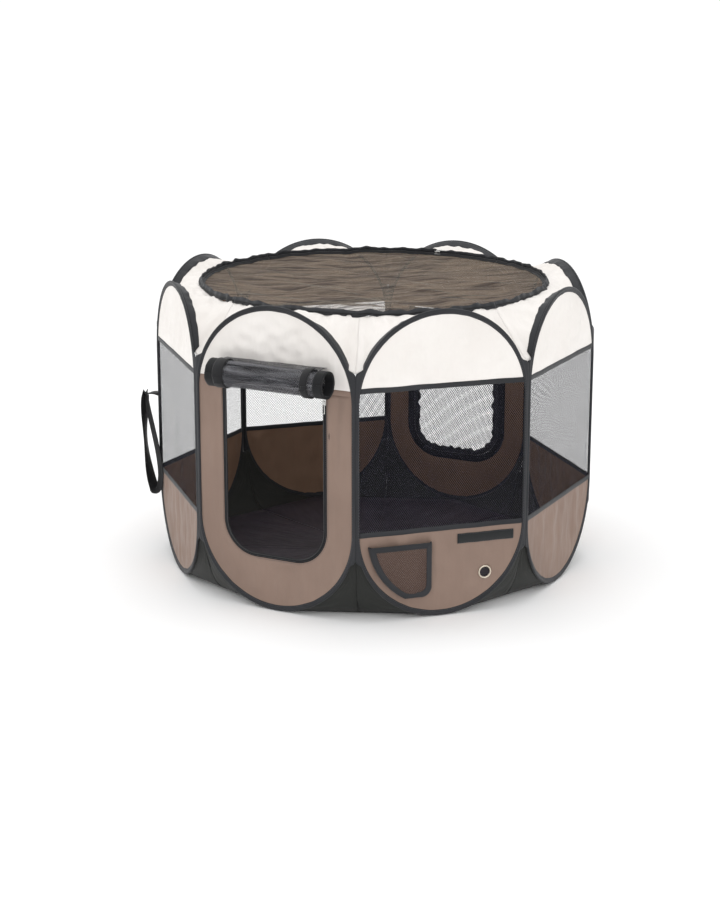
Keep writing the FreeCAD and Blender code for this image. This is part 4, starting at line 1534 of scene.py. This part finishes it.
for index, side in enumerate(SIDES):
    sheet = grid(28, 60, lambda u, v: floor_place(u, v, index), floor_flat)
    sector(side + "_floor", index, [sheet], [floor_nylon], 0.6 * MM, ["floor_sheet"], "laid")
    halves = [grid(12, 24, lambda u, v: gusset_place(u, v, hand, index), gusset_flat) for hand in (-1, 1)]
    sector(side + "_gussets", index, halves, [gusset_nylon], 0.5 * MM, ["floor_gussets"],
           held=None)
print("floor sectors reach", round(APOTHEM, 3))

# %% [markdown]
# ## Carry strap
#
# A loop of stiff webbing hangs from the edge between two panels. Its ends are sewn to the edge
# at the top, a short neck stands out from there, and the loop opens below it like a drop. A
# bezier cord could make it too, but a flat section swept along a function keeps the webbing's
# width and lets it twist as it falls. Two rows of stitches hold the ends together.

# %% Carry strap
strap_low, strap_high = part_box("carry_strap")
STRAP_ANGLE = TURN * (SIDES.index("left") + 0.5) - math.pi / 2
STRAP_TOP = strap_high.z
STRAP_FOOT = strap_low.z
STRAP_INNER = APOTHEM / math.cos(TURN / 2) + 4.2 * MM
STRAP_LOOP = 41 * MM
STRAP_HALF = 12.5 * MM
away = Vector((math.cos(STRAP_ANGLE), math.sin(STRAP_ANGLE), 0))
beside = Vector((-away.y, away.x, 0))
up = Vector((0, 0, 1))
STRAP_OUT = 24 * MM
STRAP_FRONT = 24 * MM
STRAP_SEWN = -4.4 * MM
NECK_SHARE = 0.07
LOOP_HIGH = STRAP_TOP - 8 * MM
LOOP_TALL = LOOP_HIGH - STRAP_FOOT
strap_length = 2 * LOOP_TALL + STRAP_LOOP + STRAP_OUT


def strap_point(u):
    """The webbing's middle: out from the edge, down, round the foot and up in front to the neck."""
    if u < NECK_SHARE:
        share = u / NECK_SHARE
        out = STRAP_SEWN + (STRAP_OUT - STRAP_SEWN) * share
        return out, LOOP_HIGH + 4 * MM * math.sin(math.pi * share) * (1 - share), 0
    angle = (u - NECK_SHARE) / (1 - NECK_SHARE) * 2 * math.pi
    fall = (1 - math.cos(angle)) / 2
    side = math.sin(angle)
    sideways = 10 * MM if side > 0 else 28 * MM
    out = STRAP_OUT * (1 - 0.75 * fall**2) + sideways * side * fall**0.6
    forward = STRAP_FRONT * (1 - side) / 2 * fall**0.5
    return out, LOOP_HIGH - LOOP_TALL * fall, forward


def strap_spot(u):
    """The same point in the frame, measured from the pen's edge."""
    out, height, forward = strap_point(u)
    return away * (STRAP_INNER + out) + beside * forward + up * height


def strap_path(u):
    """The webbing's middle, the direction across it and the direction out of it. It's turned to
    the side, but edge-on halfway down its outer run."""
    ahead = (strap_spot(min(u + 0.004, 1)) - strap_spot(max(u - 0.004, 0))).normalized()
    twist = math.radians(36) * (1 - 0.85 * math.exp(-(((u - 0.3) / 0.09) ** 2)))
    twist -= math.radians(40) * math.exp(-((u / 0.09) ** 2))
    level = (beside - ahead * beside.dot(ahead)).normalized()
    across = level * math.cos(twist) + ahead.cross(level) * math.sin(twist)
    return strap_spot(u), across, ahead.cross(across)


edge = [(-STRAP_HALF, 0.2 * MM), (-STRAP_HALF + 1 * MM, 0.8 * MM), (STRAP_HALF - 1 * MM, 0.8 * MM)]
edge += [(STRAP_HALF, 0.2 * MM)]
strap_ring = both_faces(edge)
strap = sweep(strap_path, 120, lambda u: strap_ring, strap_length)
piece("carry_strap_webbing", [strap], "carry_strap", [webbing], hides=["carry_strap"])
rows = []
for hand in (-1, 1):
    def side_row(u, hand=hand):
        centre, across, out = strap_path(1 - 0.05 * u)
        return centre + across * hand * 9 * MM - out * 0.95 * MM, -out

    rows.append(stitches(side_row, 22 * MM, 3 * MM))
piece("carry_strap_stitching", rows, "carry_strap", [thread])
print("carry strap is", round(strap_length, 3), "of webbing")

# %% [markdown]
# ## The studio floor
#
# The floor under the pen is a wide white disc. It belongs to the stage and not to the pen, so
# it is made last and given no body. A disc has no corner for the camera to catch.

# %% Floor of the studio
ground = bmesh.new()
bmesh.ops.create_circle(ground, cap_ends=True, segments=96, radius=14)
ground_data = bpy.data.meshes.new("studio_floor")
ground.to_mesh(ground_data)
ground.free()
ground_data.materials.append(floor_white)
studio_floor = bpy.data.objects.new("studio_floor", ground_data)
bpy.context.scene.collection.objects.link(studio_floor)
